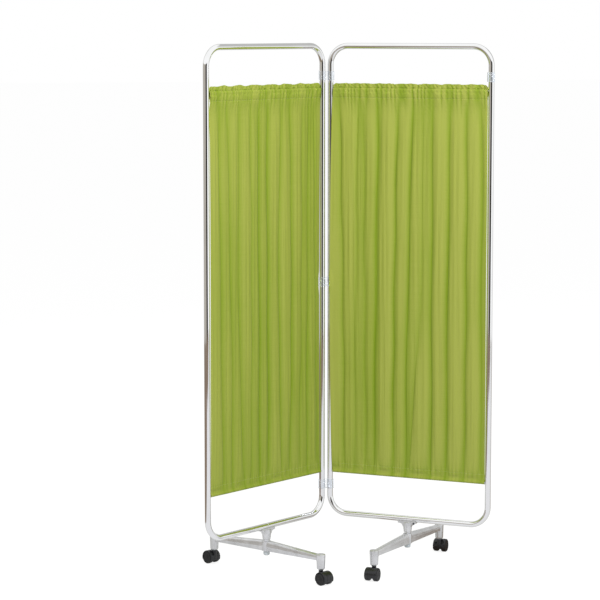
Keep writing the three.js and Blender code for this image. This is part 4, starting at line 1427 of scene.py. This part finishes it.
def make_lamps():
    for name, (place, aim, (width, height), power) in LAMPS.items():
        data = bpy.data.lights.new(name, "AREA")
        data.shape = "RECTANGLE"
        data.size, data.size_y = width, height
        data.energy = power
        lamp = linked(name, data)
        lamp.location = place
        direction = Vector(aim) - Vector(place)
        lamp.rotation_euler = direction.to_track_quat("-Z", "Y").to_euler()
        lamp.visible_glossy = False
        lamp.visible_camera = False


# What the chrome mirrors: the studio's white sheet near the object, its boards, and the dark room
# behind the photographer, as a wall and floor that only reflections see. Each tone starts at an
# azimuth in degrees, counted from straight in front towards the right.
ROOM_RADIUS = 5.5
ROOM_TOP = 8.0
ROOM_FLOOR = 0.001
ROOM_SIDES = 96
BOARD_TOP = 2.6
BOARD_BLUR = 0.1
WALL_FOOT = (0.002, 0.01)
SHEET_FRONT = 3.4
FRONT_BLUR = 0.3
SHEET_LEFT = 1.1
LEFT_BLUR = 0.1
WHITE = (1.0, 1.0, 1.0)
PALE = (0.67, 0.67, 0.655)
MIST = (0.58, 0.58, 0.56)
CEILING = (0.53, 0.53, 0.52)
BEIGE = (0.45, 0.42, 0.375)
DARK = (0.014, 0.011, 0.009)
BROWN = (0.25, 0.19, 0.145)
SHEET = (0.80, 0.80, 0.82)
LOW_TONES = [(-180, MIST), (-120, MIST), (-112, BEIGE), (-18, BEIGE), (-14, DARK), (31, DARK),
             (36, WHITE), (92, WHITE), (106, PALE), (180, PALE)]
HIGH_TONES = [(-180, PALE), (-120, PALE), (-112, WHITE), (88, WHITE), (96, CEILING),
              (180, CEILING)]
FLOOR_TONES = [(-180, MIST), (-140, MIST), (-125, BROWN), (180, BROWN)]
SHEET_TONES = [(-180, MIST), (-100, PALE), (-60, SHEET), (60, SHEET), (108, PALE), (118, BROWN),
               (132, BROWN), (142, MIST), (180, MIST)]


def make_room():
    material, g, output = bare_material("room")
    place = g.node("TexCoord").outputs["Object"]
    x, y, z = g.node("SeparateXYZ", {"Vector": place}).outputs
    share = g.ranged(g.math("ARCTAN2", y, x), 0, 1, -pi, pi)

    def round_about(tones):
        return g.ramp(share, [((angle + 180) / 360, tone) for angle, tone in tones])

    def mixed(factor, first, second):
        sockets = {0: factor, 6: first, 7: second}  # factor, A and B of a mix of colours
        return g.node("Mix", sockets, data_type="RGBA").outputs[2]

    past_front = g.ranged(x, 0, 1, SHEET_FRONT - FRONT_BLUR, SHEET_FRONT + FRONT_BLUR)
    past_left = g.ranged(y, 0, 1, LEFT_BLUR - SHEET_LEFT, -LEFT_BLUR - SHEET_LEFT)
    past_sheet = g.math("MAXIMUM", past_front, past_left)
    past_board = g.ranged(z, 0, 1, BOARD_TOP - BOARD_BLUR, BOARD_TOP + BOARD_BLUR)
    ground = mixed(past_sheet, round_about(SHEET_TONES), round_about(FLOOR_TONES))
    low = mixed(g.ranged(z, 0, 1, *WALL_FOOT), ground, round_about(LOW_TONES))
    tones = mixed(past_board, low, round_about(HIGH_TONES))
    depth = g.node("LightPath").outputs["Glossy Depth"]
    mirrored = g.math("GREATER_THAN", depth, 0.5)
    color = mixed(mirrored, (*WHITE, 1), tones)
    g.feed(output, g.node("Emission", {"Color": color, "Strength": 1.0}).outputs[0])

    levels = (ROOM_FLOOR, ROOM_TOP)
    points = [polar(ROOM_RADIUS, turn, level) for level in levels for turn in turns(ROOM_SIDES)]
    faces = []
    for k in range(ROOM_SIDES):
        a, b = 1 + k, 1 + (k + 1) % ROOM_SIDES
        faces += [(0, a, b), (a, b, b + ROOM_SIDES, a + ROOM_SIDES)]
    room = stage_object("room", ([(0, 0, ROOM_FLOOR), *points], faces), material)
    room.rotation_euler.z = atan2(CAMERA_PLACE[1], CAMERA_PLACE[0])
    for ray in ("camera", "diffuse", "shadow"):
        setattr(room, f"visible_{ray}", False)


make_camera()
make_frames()
make_connectors()
make_pivots()
make_legs()
make_casters()
make_curtains()
make_floor()
make_world()
make_room()
make_lamps()

scene.view_settings.view_transform = "Standard"
